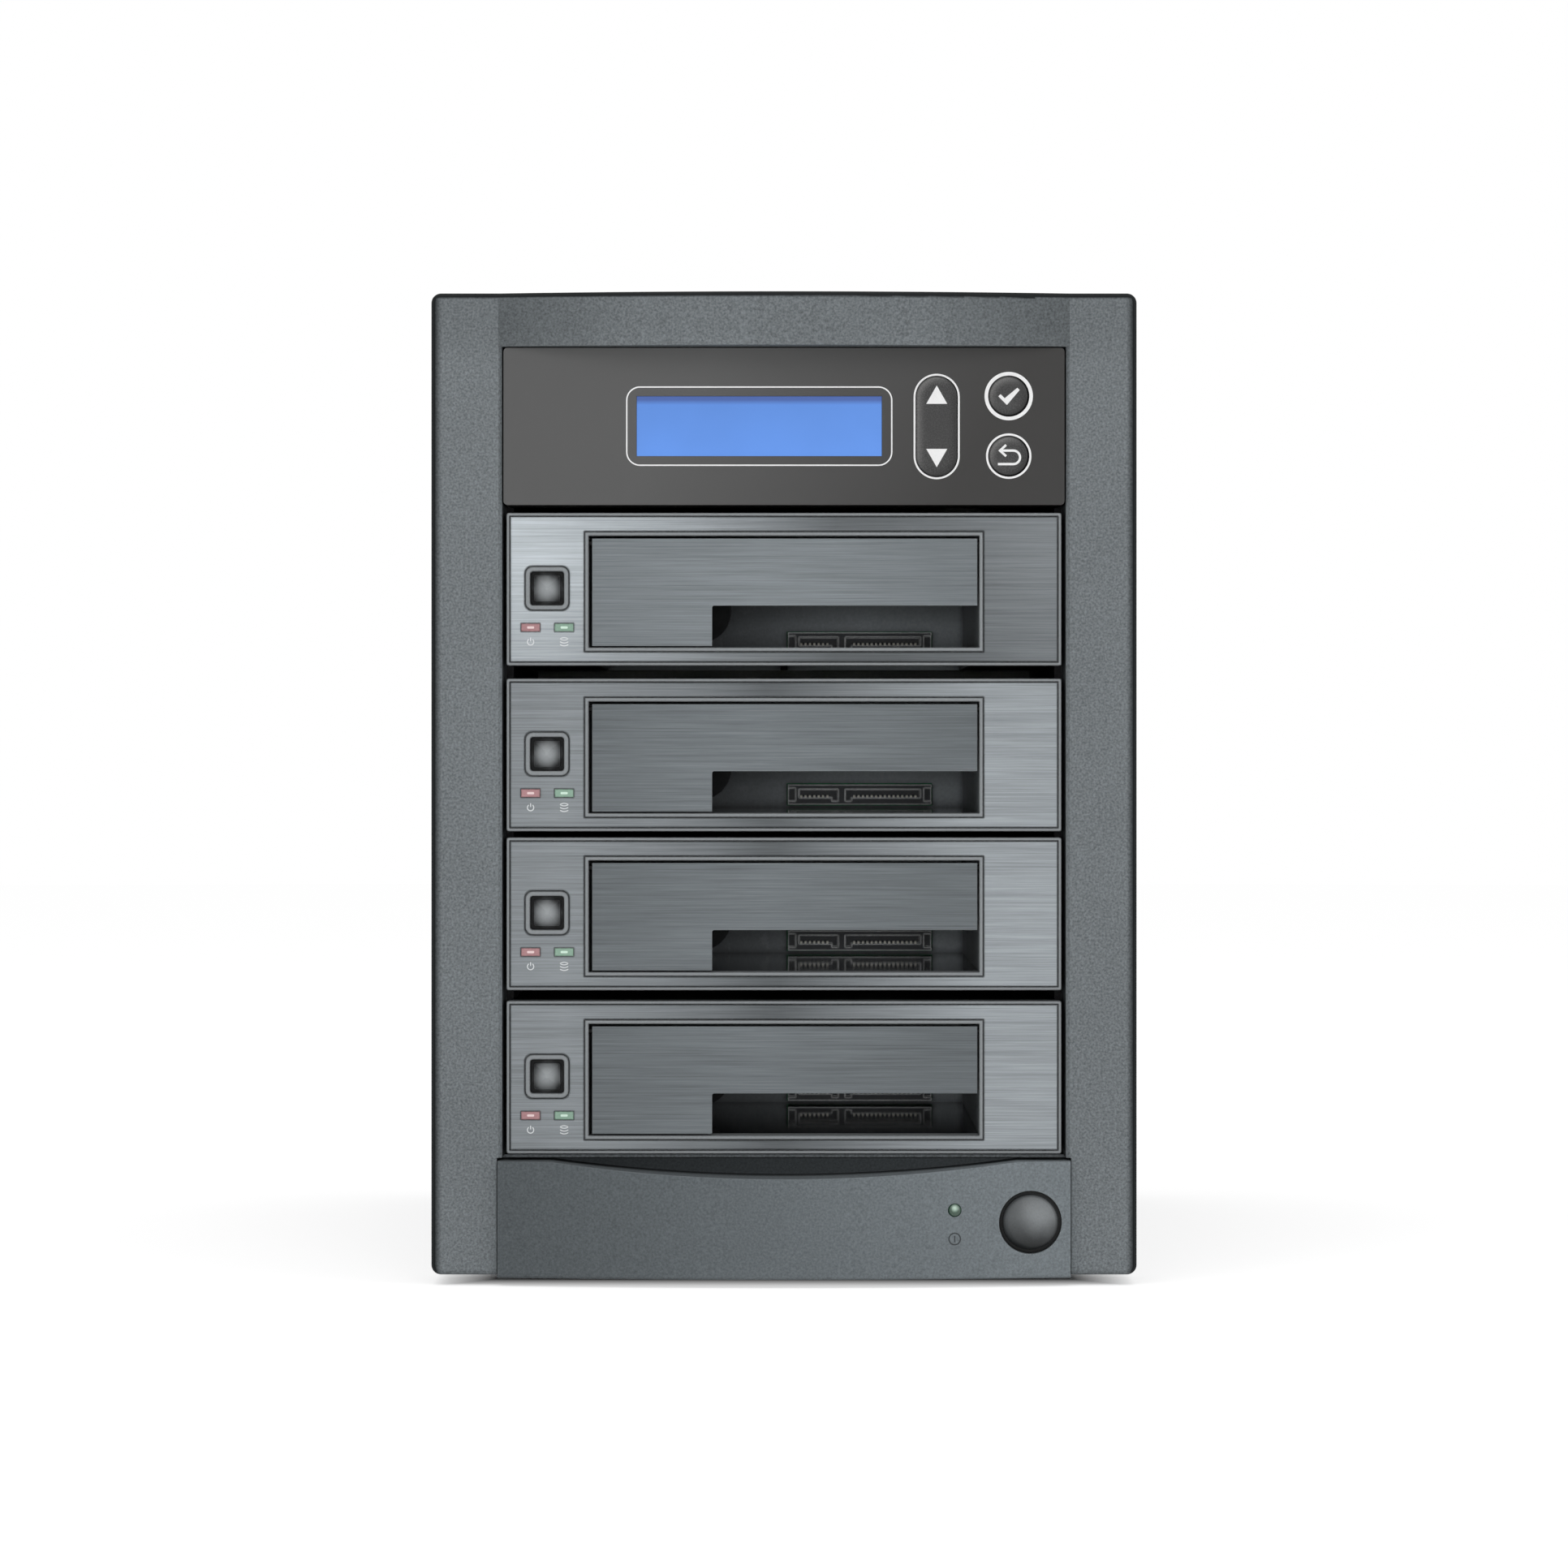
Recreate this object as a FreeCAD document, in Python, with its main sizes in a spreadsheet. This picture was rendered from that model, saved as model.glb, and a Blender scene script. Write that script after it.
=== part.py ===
import FreeCAD, Part
import Sketcher
import math
import os

# SSD duplicator tower: one control panel and four trayless drive racks in a five-bay case.
# Millimetres. +X is to the right seen from the front, +Y goes to the back, +Z is up.
# The origin is the centre of the footprint, on the surface that the feet stand on.

# Driving dimensions: name, value and what it measures
SIZES = [
    # the whole case
    ("overall_depth", 340, "front of the bowed lower panel to the heads of the rear thumbscrews"),
    ("sheet", 1.0, "thickness of the steel sheet"),
    ("fit_gap", 0.2, "clearance between parts of the case that slide together"),
    ("foot_height", 6.0, "height of the rubber feet"),
    ("foot_width", 18.0, "diameter of a foot at the case"),
    ("foot_taper", 2.0, "how much smaller in diameter a foot is on the ground"),
    ("foot_inset", 24.0, "foot centre to the side of the case"),
    ("foot_setback", 40.0, "foot centre to the front and back of the steel case"),
    ("vent_width", 80.0, "length of the slots in the base tray"),
    ("vent_first", 20.0, "first of those slots behind the bay cage"),
    ("vent_pitch", 12.0, "distance between them"),
    ("cover_width", 186.0, "outside width of the steel cover"),
    ("cover_top", 263.5, "top of the steel cover above the ground"),
    ("cover_bend", 2.0, "outer bend radius of the cover"),
    ("cover_lip", 11.0, "width of the cover's lip over the rear panel"),
    ("tray_flange", 12.0, "height of the base tray's side flanges"),
    ("thumb_head", 7.0, "length of a thumbscrew head"),
    ("thumb_width", 10.0, "diameter of a thumbscrew head"),
    ("thumb_shank", 3.5, "diameter of a thumbscrew shank"),
    ("thumb_reach", 8.0, "length of a thumbscrew shank behind the lip"),
    ("thumb_rise", 40.0, "thumbscrews from the top and the bottom of the cover"),
    # front bezel
    ("bezel_width", 188.2, "outside width of the front bezel"),
    ("bezel_low", 2.8, "bottom of the bezel columns above the ground"),
    ("bezel_high", 264.6, "top of the bezel above the ground"),
    ("bezel_depth", 28.0, "column face to the back of the bezel"),
    ("bezel_wall", 2.5, "wall thickness of the bezel mouldings"),
    ("bezel_corner", 2.6, "corner radius of the bezel seen from the front"),
    ("bezel_edge", 1.8, "rounding of the bezel's front edge"),
    ("bar_bow", 8.0, "how far the middle of the top bar bows forward of the columns"),
    ("bay_opening", 150.4, "width of the opening between the columns"),
    ("bay_ceiling", 250.3, "top of the opening above the ground"),
    ("bay_bevel", 1.1, "bevel along the edges of the opening"),
    # lower panel of the bezel
    ("panel_width", 152.6, "width of the lower panel"),
    ("panel_seam", 0.3, "gap beside the lower panel"),
    ("panel_low", 2.3, "bottom of the lower panel above the ground"),
    ("panel_high", 33.3, "top of the lower panel at its sides"),
    ("panel_step", 3.0, "how far the sides of the lower panel stand forward of the columns"),
    ("panel_bow", 9.5, "how far its middle stands forward of the columns"),
    ("panel_depth", 13.0, "how far the panel reaches back from the columns' face"),
    ("scoop_width", 124.0, "width of the scoop in the panel's top edge"),
    ("scoop_drop", 4.3, "depth of that scoop below the panel's top edge"),
    ("rail_setback", 14.0, "column face to the rail behind the lower panel"),
    ("bay_sill", 0.7, "gap between the lower panel and the bay opening"),
    # power button and light
    ("power_across", 65.5, "power button centre to the right of the middle"),
    ("power_up", 17.2, "power button centre above the ground"),
    ("power_cap", 14.6, "diameter of the power button"),
    ("power_gap", 1.1, "gap round the power button"),
    ("power_dome", 2.6, "height of its dome"),
    ("power_proud", 1.2, "how far its rim sits behind the panel's face beside it"),
    ("power_travel", 2.0, "travel of the power button"),
    ("power_collar", 1.0, "how much wider in radius its collar is than its hole"),
    ("seat_gap", 0.3, "clearance between a button's collar and the wall that stops it"),
    ("switch_body", 12.0, "width of the power switch"),
    ("light_across", 45.3, "power light centre to the right of the middle"),
    ("light_up", 20.6, "power light centre above the ground"),
    ("light_width", 3.5, "diameter of the power light"),
    # drive racks
    ("rack_width", 148.0, "width of a rack's face"),
    ("rack_high", 40.7, "height of a rack's face"),
    ("rack_recess", 1.0, "column face to the racks' faces"),
    ("rack_one", 165.3, "bottom of the top rack above the ground"),
    ("rack_two", 121.1, "bottom of the second rack"),
    ("rack_three", 78.7, "bottom of the third rack"),
    ("rack_four", 35.1, "bottom of the lowest rack"),
    ("rack_rim", 0.8, "plastic rim round the brushed plate"),
    ("rack_groove", 0.25, "groove between the rim and the plate"),
    ("rack_front", 10.0, "depth of a rack's bezel"),
    ("rack_wall", 1.9, "wall thickness of a rack's bezel"),
    ("rack_deep", 160.0, "face to the back end of a rack"),
    ("plate_thick", 0.5, "thickness of the brushed plate"),
    ("plate_seat", 0.6, "depth of the recess that the plate lies in"),
    ("drive_width", 104.2, "width of the drive opening"),
    ("drive_floor", 4.8, "floor of the chamber above the rack's bottom"),
    ("drive_ceiling", 34.6, "top of the drive opening above the rack's bottom"),
    ("frame_rim", 1.0, "raised rim round the drive opening"),
    # flap door
    ("door_left", 0.9, "gap at the door's left edge"),
    ("door_right", 0.5, "gap at its right edge"),
    ("door_over", 0.7, "gap above it"),
    ("door_under", 0.4, "gap below it"),
    ("door_recess", 0.8, "rack face to the door's face"),
    ("door_thick", 1.8, "thickness of the door"),
    ("door_barrel", 2.7, "diameter of the barrel along its top edge"),
    ("door_drop", 1.2, "hinge axis below the door's top edge"),
    ("pivot", 1.6, "diameter of the door's pivots"),
    ("pivot_reach", 1.4, "how far a pivot enters the bezel"),
    ("running", 0.05, "radial clearance of a pivot or shaft"),
    ("slot_left", 19.2, "left end of the 2.5-inch slot from the rack's middle"),
    ("slot_high", 16.0, "top of the 2.5-inch slot above the rack's bottom"),
    ("slot_corner", 0.6, "corner radius of the slot"),
    # eject button and lights of a rack
    ("eject_across", 63.2, "eject button centre to the left of the rack's middle"),
    ("eject_up", 20.6, "eject button centre above the rack's bottom"),
    ("eject_cap", 7.0, "width of the eject button"),
    ("eject_well", 9.05, "width of its well"),
    ("eject_surround", 11.5, "width of the raised surround"),
    ("eject_corner", 2.0, "corner radius of the surround"),
    ("eject_travel", 3.0, "travel of the eject button"),
    ("eject_peak", 0.9, "height of the cap's four-sided face"),
    ("rod_width", 3.0, "width of the push rod behind the button"),
    ("rod_high", 4.0, "height of the push rod"),
    ("rod_tip", 5.0, "length of its half-width tip, clear of the tilting ejector"),
    ("rod_gap", 0.35, "gap between the rod and the ejector's pad"),
    ("rib_first", 40.0, "first rib that guides the push rod, behind the rack's face"),
    ("rib_second", 134.0, "second rib, clear of the folded guide arm"),
    ("lens_width", 5.2, "width of a light lens"),
    ("lens_high", 2.3, "height of a light lens"),
    ("lens_up", 10.15, "centre of the lenses above the rack's bottom"),
    ("red_across", 67.6, "centre of the red lens to the left of the rack's middle"),
    ("green_across", 58.65, "centre of the green lens to the left of the rack's middle"),
    # inside of a rack
    ("body_width", 146.0, "width of a rack behind its bezel"),
    ("body_low", 0.6, "underside of the housing above the rack's bottom"),
    ("body_high", 39.4, "top of the housing above the rack's bottom"),
    ("body_wall", 1.5, "wall thickness of the housing"),
    ("lid_thick", 0.8, "thickness of a rack's steel top cover"),
    ("chamber_deep", 150.0, "face to the back wall of the chamber"),
    ("board_thick", 1.6, "thickness of the circuit boards"),
    ("plug_across", 22.0, "connector centre to the right of the rack's middle"),
    ("plug_width", 41.7, "width of the connector"),
    ("plug_high", 5.8, "height of the connector"),
    ("plug_end", 3.25, "end of the connector to its slots"),
    ("plug_slot_low", 2.0, "bottom of the slots above the connector's own"),
    ("plug_slot_high", 4.4, "top of the slots above the connector's bottom"),
    ("plug_slot_deep", 5.0, "depth of the slots"),
    ("plug_key_low", 1.0, "bottom of the keyed ends of the slots above the connector's bottom"),
    ("plug_key_width", 1.75, "width of those keyed ends"),
    ("plug_web_left", 6.3, "right end of the data slot to the left of the connector's middle"),
    ("plug_web_right", 4.2, "left end of the power slot to the left of the connector's middle"),
    ("plug_up", 0.9, "connector above the chamber floor"),
    ("plug_reach", 8.0, "how far the connector stands into the chamber"),
    ("lever_across", 57.4, "ejector pivot to the left of the rack's middle"),
    ("lever_back", 145.5, "ejector pivot behind the rack's face"),
    ("lever_short", 6.2, "pivot to the pad that the rod pushes"),
    ("lever_long", 17.4, "pivot to the tip that pushes the drive"),
    ("lever_thick", 3.0, "thickness of the ejector's arms"),
    ("post", 3.6, "diameter of the pivot posts"),
    ("arm_across", 56.8, "guide arm pivot to the left of the rack's middle"),
    ("arm_back", 88.0, "guide arm pivot behind the rack's face"),
    ("arm_length", 42.0, "pivot to the free end of the guide arm"),
    ("arm_thick", 2.0, "thickness of the guide arm"),
    ("arm_low", 7.5, "bottom of the guide arm above the rack's bottom"),
    ("arm_high", 24.5, "top of the guide arm above the rack's bottom"),
    ("arm_corner", 9.0, "radius of the arm's lower corner"),
    ("screw_up", 10.0, "side screws above the rack's bottom"),
    ("screw_first", 50.0, "first side screw behind the rack's face"),
    ("screw_pitch", 79.3, "distance between the side screws"),
    ("screw_shank", 2.9, "diameter of a side screw"),
    ("screw_head", 5.5, "diameter of its head"),
    ("screw_crown", 1.8, "height of its head"),
    ("screw_reach", 4.2, "length of its shank"),
    # control panel
    ("control_width", 149.6, "width of the control panel"),
    ("control_low", 208.1, "bottom of the control panel above the ground"),
    ("control_high", 250.0, "top of the control panel above the ground"),
    ("control_corner", 1.1, "corner radius of the control panel"),
    ("control_face", 2.0, "thickness of its face"),
    ("control_deep", 20.0, "depth of its side walls"),
    ("display_across", 6.6, "display centre to the left of the middle"),
    ("display_up", 229.1, "display centre above the ground"),
    ("display_width", 65.3, "width of the display window"),
    ("display_high", 15.9, "height of the display window"),
    ("arrow_across", 40.7, "up and down key centre to the right of the middle"),
    ("arrow_up", 229.0, "up and down key centre above the ground"),
    ("arrow_width", 10.8, "width of the up and down key"),
    ("arrow_high", 26.6, "height of the up and down key"),
    ("key_across", 59.9, "round keys' centre to the right of the middle"),
    ("confirm_up", 237.1, "confirm key centre above the ground"),
    ("return_up", 221.1, "return key centre above the ground"),
    ("key_width", 10.5, "diameter of the round keys"),
    ("key_gap", 0.25, "gap round the keys"),
    ("key_proud", 0.7, "height of the keys in front of the panel"),
    ("key_travel", 0.6, "travel of the round keys"),
    ("key_collar", 0.8, "how much wider in radius a key is behind the panel"),
    ("key_pin", 1.6, "diameter of the up and down key's pivot pin"),
    ("key_pin_back", 1.0, "pivot pin behind the inside of the panel's face"),
    ("key_pin_reach", 1.8, "how far the pin stands out beside the key's collar"),
    ("key_bracket", 3.2, "width of the brackets that the pin rests in"),
    ("key_switch", 4.3, "height of a key switch on the front board"),
    ("front_board_gap", 10.5, "inside of the panel's face to the front board"),
    # bay cage and inside of the case
    ("cage_width", 148.6, "outside width of the bay cage"),
    ("cage_gap", 7.5, "gap between the bay cage and the power supply"),
    ("cage_high", 253.5, "top of the bay cage above the ground"),
    ("controller_width", 118.0, "width of the controller board"),
    ("controller_deep", 96.0, "depth of the controller board"),
    # power supply
    ("supply_width", 150.0, "width of the power supply"),
    ("supply_high", 86.0, "height of the power supply"),
    ("supply_deep", 125.0, "depth of the power supply"),
    ("supply_low", 168.0, "bottom of the power supply above the ground"),
    ("inlet_across", 48.0, "mains inlet centre to the left of the middle"),
    ("inlet_width", 28.0, "width of the inlet and switch module"),
    ("inlet_high", 50.0, "height of the inlet and switch module"),
    ("rocker_tilt", 9.0, "degrees that the rocker leans to either side"),
    # fans
    ("fan_width", 80.0, "width of a fan"),
    ("fan_deep", 25.0, "depth of a fan"),
    ("fan_bore", 76.0, "diameter of the fan frame's bore"),
    ("fan_screws", 71.5, "distance between the fan's corner holes"),
    ("fan_screw", 4.3, "diameter of those holes"),
    ("fan_hub", 32.0, "diameter of the rotor's hub"),
    ("fan_sweep", 73.0, "diameter over the blades"),
    ("fan_blades", 7, "number of blades"),
    ("fan_shaft", 3.0, "diameter of the rotor's shaft"),
    ("supply_fan_across", 30.0, "power supply fan to the right of the middle"),
    ("case_fan_across", 0.0, "case fan to the right of the middle"),
    ("case_fan_up", 96.0, "case fan centre above the ground"),
    ("grille_slot", 3.6, "height of a slot in the punched grille"),
    ("grille_pitch", 6.6, "distance between the slots"),
]

RACKS = ("one", "two", "three", "four")

doc = FreeCAD.newDocument("Duplicator")
sheet = doc.addObject("Spreadsheet::Sheet", "Sizes")


class Size:
    """A length: its value, and the spreadsheet expression that gives it."""

    def __init__(self, value, text):
        self.value = float(value)
        self.text = text

    def __add__(self, other):
        other = as_size(other)
        return Size(self.value + other.value, "(%s + %s)" % (self.text, other.text))

    def __sub__(self, other):
        other = as_size(other)
        return Size(self.value - other.value, "(%s - %s)" % (self.text, other.text))

    def __mul__(self, other):
        other = as_size(other)
        return Size(self.value * other.value, "(%s * %s)" % (self.text, other.text))

    def __truediv__(self, other):
        other = as_size(other)
        return Size(self.value / other.value, "(%s / %s)" % (self.text, other.text))

    def __neg__(self):
        return Size(-self.value, "(-%s)" % self.text)

    def __radd__(self, other):
        return as_size(other) + self

    def __rsub__(self, other):
        return as_size(other) - self

    def __rmul__(self, other):
        return as_size(other) * self

    def root(self):
        return Size(math.sqrt(self.value), "sqrt(%s)" % self.text)


def as_size(number):
    """A plain number as a Size, and a Size as it is."""
    if isinstance(number, Size):
        return number
    return Size(number, "(%r)" % float(number))


class Table:
    """The sizes of the sheet, each under its own name."""

    def __init__(self, rows):
        for place, (name, value, note) in enumerate(rows, 1):
            sheet.set("A%d" % place, name)
            sheet.set("B%d" % place, str(value))
            sheet.set("C%d" % place, note)
            sheet.setAlias("B%d" % place, name)
            setattr(self, name, Size(value, "Sizes." + name))


size = Table(SIZES)
doc.recompute()

# Planes that several pieces share
FRONT = size.panel_bow - size.overall_depth / 2
BACK = size.overall_depth / 2 - size.thumb_head - size.sheet
CASE_FRONT = FRONT + size.bezel_depth
CASE_LOW = size.foot_height
FLOOR = size.foot_height + size.sheet
RACK_FACE = FRONT + size.rack_recess
RACK_LOW = {name: getattr(size, "rack_" + name) for name in RACKS}
INSIDE = size.cover_width / 2 - size.sheet
CAGE = size.cage_width / 2
HALF_DRIVE = size.drive_width / 2
HALF_BODY = size.body_width / 2
SUPPLY_MIDDLE = size.supply_low + size.supply_high / 2
SUPPLY_FRONT = BACK - size.sheet - size.supply_deep
CAGE_BACK = SUPPLY_FRONT - size.cage_gap
DOOR_TOP = size.drive_ceiling - size.door_over
DOOR_AXIS_UP = DOOR_TOP - size.door_drop
DOOR_AXIS_BACK = size.door_recess + size.door_barrel / 2

VIEWS = {"top": "XY_Plane", "front": "XZ_Plane", "side": "YZ_Plane"}
PIECES = []


def bind(item, place, length):
    """Tie one property to the sheet."""
    item.setExpression(place, as_size(length).text)


def new_body(label, across=0, back=0, up=0):
    """A named piece, placed by three lengths."""
    body = doc.addObject("PartDesign::Body", label)
    body.Label = label
    body.AllowCompound = True
    bind(body, "Placement.Base.x", across)
    bind(body, "Placement.Base.y", back)
    bind(body, "Placement.Base.z", up)
    PIECES.append(body)
    return body


def origin_feature(body, role):
    return [feature for feature in body.Origin.OriginFeatures if feature.Role == role][0]


def sketch_on(body, view, level):
    """A sketch seen from the top, the front or the side, at a level along that view."""
    sketch = body.newObject("Sketcher::SketchObject", "Outline")
    sketch.AttachmentSupport = (origin_feature(body, VIEWS[view]), [""])
    sketch.MapMode = "FlatFace"
    level = as_size(level)
    bind(sketch, "AttachmentOffset.Base.z", -level if view == "front" else level)
    return sketch


def hold(sketch, index, point, across, up):
    """Fix a point of the sketch by its two coordinates."""
    for kind, length in (("DistanceX", across), ("DistanceY", up)):
        number = sketch.addConstraint(Sketcher.Constraint(kind, -1, 1, index, point, length.value))
        sketch.setExpression("Constraints[%d]" % number, length.text)


def end_at(sketch, index, spot):
    """Which end of a line or arc of the sketch lies at a corner: 1 or 2."""
    corner = FreeCAD.Vector(spot[0].value, spot[1].value, 0)
    first = (sketch.getPoint(index, 1) - corner).Length
    return 1 if first < (sketch.getPoint(index, 2) - corner).Length else 2


def path(*corners):
    """A closed outline. A corner with a third length starts an arc that bulges to the right."""

    def draw(sketch):
        first = sketch.GeometryCount
        count = len(corners)
        spots = [tuple(as_size(length) for length in corner) for corner in corners]
        for step, spot in enumerate(spots):
            follower = spots[(step + 1) % count]
            start = FreeCAD.Vector(spot[0].value, spot[1].value, 0)
            finish = FreeCAD.Vector(follower[0].value, follower[1].value, 0)
            if len(spot) == 2:
                sketch.addGeometry(Part.LineSegment(start, finish))
                continue
            run = finish - start
            middle = (start + finish) / 2 + FreeCAD.Vector(run.y, -run.x, 0) / run.Length * spot[2].value
            sketch.addGeometry(Part.Arc(start, middle, finish))
        for step, spot in enumerate(spots):
            index = first + step
            follower = spots[(step + 1) % count]
            following = first + (step + 1) % count
            start_point = end_at(sketch, index, spot)
            end_point = 3 - start_point
            joined = end_at(sketch, following, follower)
            sketch.addConstraint(Sketcher.Constraint("Coincident", index, end_point, following, joined))
            hold(sketch, index, start_point, spot[0], spot[1])
            if len(spot) == 3:
                wide = follower[0] - spot[0]
                tall = follower[1] - spot[1]
                bulge = spot[2]
                radius = ((wide * wide + tall * tall) / 4 + bulge * bulge) / (2 * bulge)
                if bulge.value < 0:
                    radius = -radius
                number = sketch.addConstraint(Sketcher.Constraint("Radius", index, radius.value))
                sketch.setExpression("Constraints[%d]" % number, radius.text)

    return draw


def plain_box(left, right, low, high):
    """A rectangle between four lengths."""

    def draw(sketch):
        first = sketch.GeometryCount
        corners = [
            FreeCAD.Vector(across.value, up.value, 0)
            for across, up in ((left, low), (right, low), (right, high), (left, high))
        ]
        for step in range(4):
            sketch.addGeometry(Part.LineSegment(corners[step], corners[(step + 1) % 4]))
        for step in range(4):
            following = first + (step + 1) % 4
            sketch.addConstraint(Sketcher.Constraint("Coincident", first + step, 2, following, 1))
            sketch.addConstraint(Sketcher.Constraint(("Horizontal", "Vertical")[step % 2], first + step))
        hold(sketch, first, 1, left, low)
        hold(sketch, first + 2, 1, right, high)

    return draw


def box(left, right, low, high, radius=None):
    """A rectangle between four lengths, with rounded corners if a radius is given."""
    left, right, low, high = (as_size(length) for length in (left, right, low, high))
    if radius is None:
        return plain_box(left, right, low, high)
    radius = as_size(radius)

    def draw(sketch):
        first = sketch.GeometryCount
        turn = math.pi / 2
        centres = (
            (right - radius, low + radius, -turn),
            (right - radius, high - radius, 0),
            (left + radius, high - radius, turn),
            (left + radius, low + radius, 2 * turn),
        )
        normal = FreeCAD.Vector(0, 0, 1)
        arcs = []
        for across, up, begin in centres:
            circle = Part.Circle(FreeCAD.Vector(across.value, up.value, 0), normal, radius.value)
            arcs.append(Part.ArcOfCircle(circle, begin, begin + turn))
        for arc in arcs:
            sketch.addGeometry(arc)
        for step, arc in enumerate(arcs):
            sketch.addGeometry(Part.LineSegment(arc.EndPoint, arcs[(step + 1) % 4].StartPoint))
        for step, (across, up, begin) in enumerate(centres):
            arc = first + step
            line = first + 4 + step
            after = first + (step + 1) % 4
            sketch.addConstraint(Sketcher.Constraint("Tangent", arc, 2, line, 1))
            sketch.addConstraint(Sketcher.Constraint("Tangent", line, 2, after, 1))
            hold(sketch, arc, 3, across, up)
            number = sketch.addConstraint(Sketcher.Constraint("Radius", arc, radius.value))
            sketch.setExpression("Constraints[%d]" % number, radius.text)

    return draw


def disc(across, up, width):
    """A circle by its centre and its diameter."""
    across, up, width = as_size(across), as_size(up), as_size(width)

    def draw(sketch):
        centre = FreeCAD.Vector(across.value, up.value, 0)
        index = sketch.addGeometry(Part.Circle(centre, FreeCAD.Vector(0, 0, 1), width.value / 2))
        hold(sketch, index, 3, across, up)
        number = sketch.addConstraint(Sketcher.Constraint("Diameter", index, width.value))
        sketch.setExpression("Constraints[%d]" % number, width.text)

    return draw


def extrude(kind, body, view, low, high, shapes):
    """A pad or a pocket of one or more outlines, between two levels along the view."""
    low, high = as_size(low), as_size(high)
    sketch = sketch_on(body, view, low)
    for draw in shapes:
        draw(sketch)
    feature = body.newObject("PartDesign::" + kind, kind)
    feature.Profile = sketch
    bind(feature, "Length", high - low)
    feature.Reversed = (view == "front") == (kind == "Pad")
    feature.Refine = kind == "Pad"
    sketch.Visibility = False
    return feature


def pad(body, view, low, high, *shapes):
    return extrude("Pad", body, view, low, high, shapes)


def pocket(body, view, low, high, *shapes):
    return extrude("Pocket", body, view, low, high, shapes)


def turn(body, outline, axis="Z_Axis", kind="Revolution", view="front"):
    """A full turn of an outline about one of the body's axes."""
    sketch = sketch_on(body, view, 0)
    outline(sketch)
    feature = body.newObject("PartDesign::" + kind, kind)
    feature.Profile = sketch
    feature.ReferenceAxis = (origin_feature(body, axis), [""])
    feature.Angle = 360
    return feature


def dress(kind, body, amount, chosen):
    """A fillet or a chamfer on the edges that a test picks out."""
    doc.recompute()
    base = body.Tip
    names = ["Edge%d" % place for place, edge in enumerate(base.Shape.Edges, 1) if chosen(edge.BoundBox)]
    feature = body.newObject("PartDesign::" + kind, kind)
    feature.Base = (base, names)
    bind(feature, "Radius" if kind == "Fillet" else "Size", amount)
    return feature


def near(first, second):
    return abs(first - as_size(second).value) < 0.01


# Case
def build_base_tray():
    body = new_body("base_tray")
    half = INSIDE - size.fit_gap
    front = CASE_FRONT + size.sheet
    back = BACK - size.sheet
    pad(body, "top", CASE_LOW, FLOOR, box(-half, half, front, back))
    flange_top = FLOOR + size.tray_flange
    pad(body, "side", -half, -half + size.sheet, box(front, back, CASE_LOW, flange_top))
    pad(body, "side", half - size.sheet, half, box(front, back, CASE_LOW, flange_top))
    vents = []
    reach = size.vent_width / 2
    for row in range(6):
        low = CAGE_BACK + size.vent_first + row * size.vent_pitch - size.grille_slot / 2
        vents.append(box(-reach, reach, low, low + size.grille_slot))
    pocket(body, "top", CASE_LOW, FLOOR, *vents)


def build_feet():
    body = new_body("rubber_feet")
    across = size.cover_width / 2 - size.foot_inset
    low_width = size.foot_width - size.foot_taper
    step = size.foot_height / 3
    for side in (-1, 1):
        for back in (CASE_FRONT + size.foot_setback, BACK - size.foot_setback):
            pad(body, "top", step, size.foot_height, disc(side * across, back, size.foot_width))
            pad(body, "top", 0, step, disc(side * across, back, low_width))


def u_shape(outer, high, thick, low):
    """The outline of a cover: two sides and a top, open below."""
    return path(
        (-outer, low), (-outer + thick, low), (-outer + thick, high - thick),
        (outer - thick, high - thick), (outer - thick, low), (outer, low),
        (outer, high), (-outer, high),
    )


def build_cover():
    body = new_body("cover")
    half = size.cover_width / 2
    back = BACK + size.sheet
    pad(body, "front", CASE_FRONT, back, u_shape(half, size.cover_top, size.sheet, CASE_LOW))
    pad(body, "front", BACK, back, u_shape(half, size.cover_top, size.cover_lip, CASE_LOW))
    holes = [disc(across, up, size.thumb_shank + 0.4) for across, up in thumb_places()]
    pocket(body, "front", BACK, back, *holes)
    corner = half.value
    top = size.cover_top.value

    def outer_bend(bounds):
        return near(abs(bounds.XMin), corner) and near(bounds.ZMin, top) and bounds.XLength < 0.01

    dress("Fillet", body, size.cover_bend, outer_bend)


def thumb_places():
    """Centres of the cover's thumbscrews, in the middle of its lip."""
    across = size.cover_width / 2 - size.cover_lip / 2
    return (
        (-across, size.cover_top - size.thumb_rise),
        (across, size.cover_top - size.thumb_rise),
        (-across, CASE_LOW + size.thumb_rise),
        (across, CASE_LOW + size.thumb_rise),
    )


def build_thumbscrews():
    body = new_body("cover_thumbscrews")
    head = BACK + size.sheet
    places = thumb_places()
    pad(body, "front", head, head + 1.5, *[disc(x, z, size.thumb_width - 1.5) for x, z in places])
    pad(body, "front", head + 1.5, head + size.thumb_head, *[disc(x, z, size.thumb_width) for x, z in places])
    pad(body, "front", head - size.thumb_reach, head, *[disc(x, z, size.thumb_shank) for x, z in places])
    slots = [box(x - size.thumb_width / 2, x + size.thumb_width / 2, z - 0.6, z + 0.6) for x, z in places]
    pocket(body, "front", head + size.thumb_head - 1.5, head + size.thumb_head, *slots)


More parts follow.
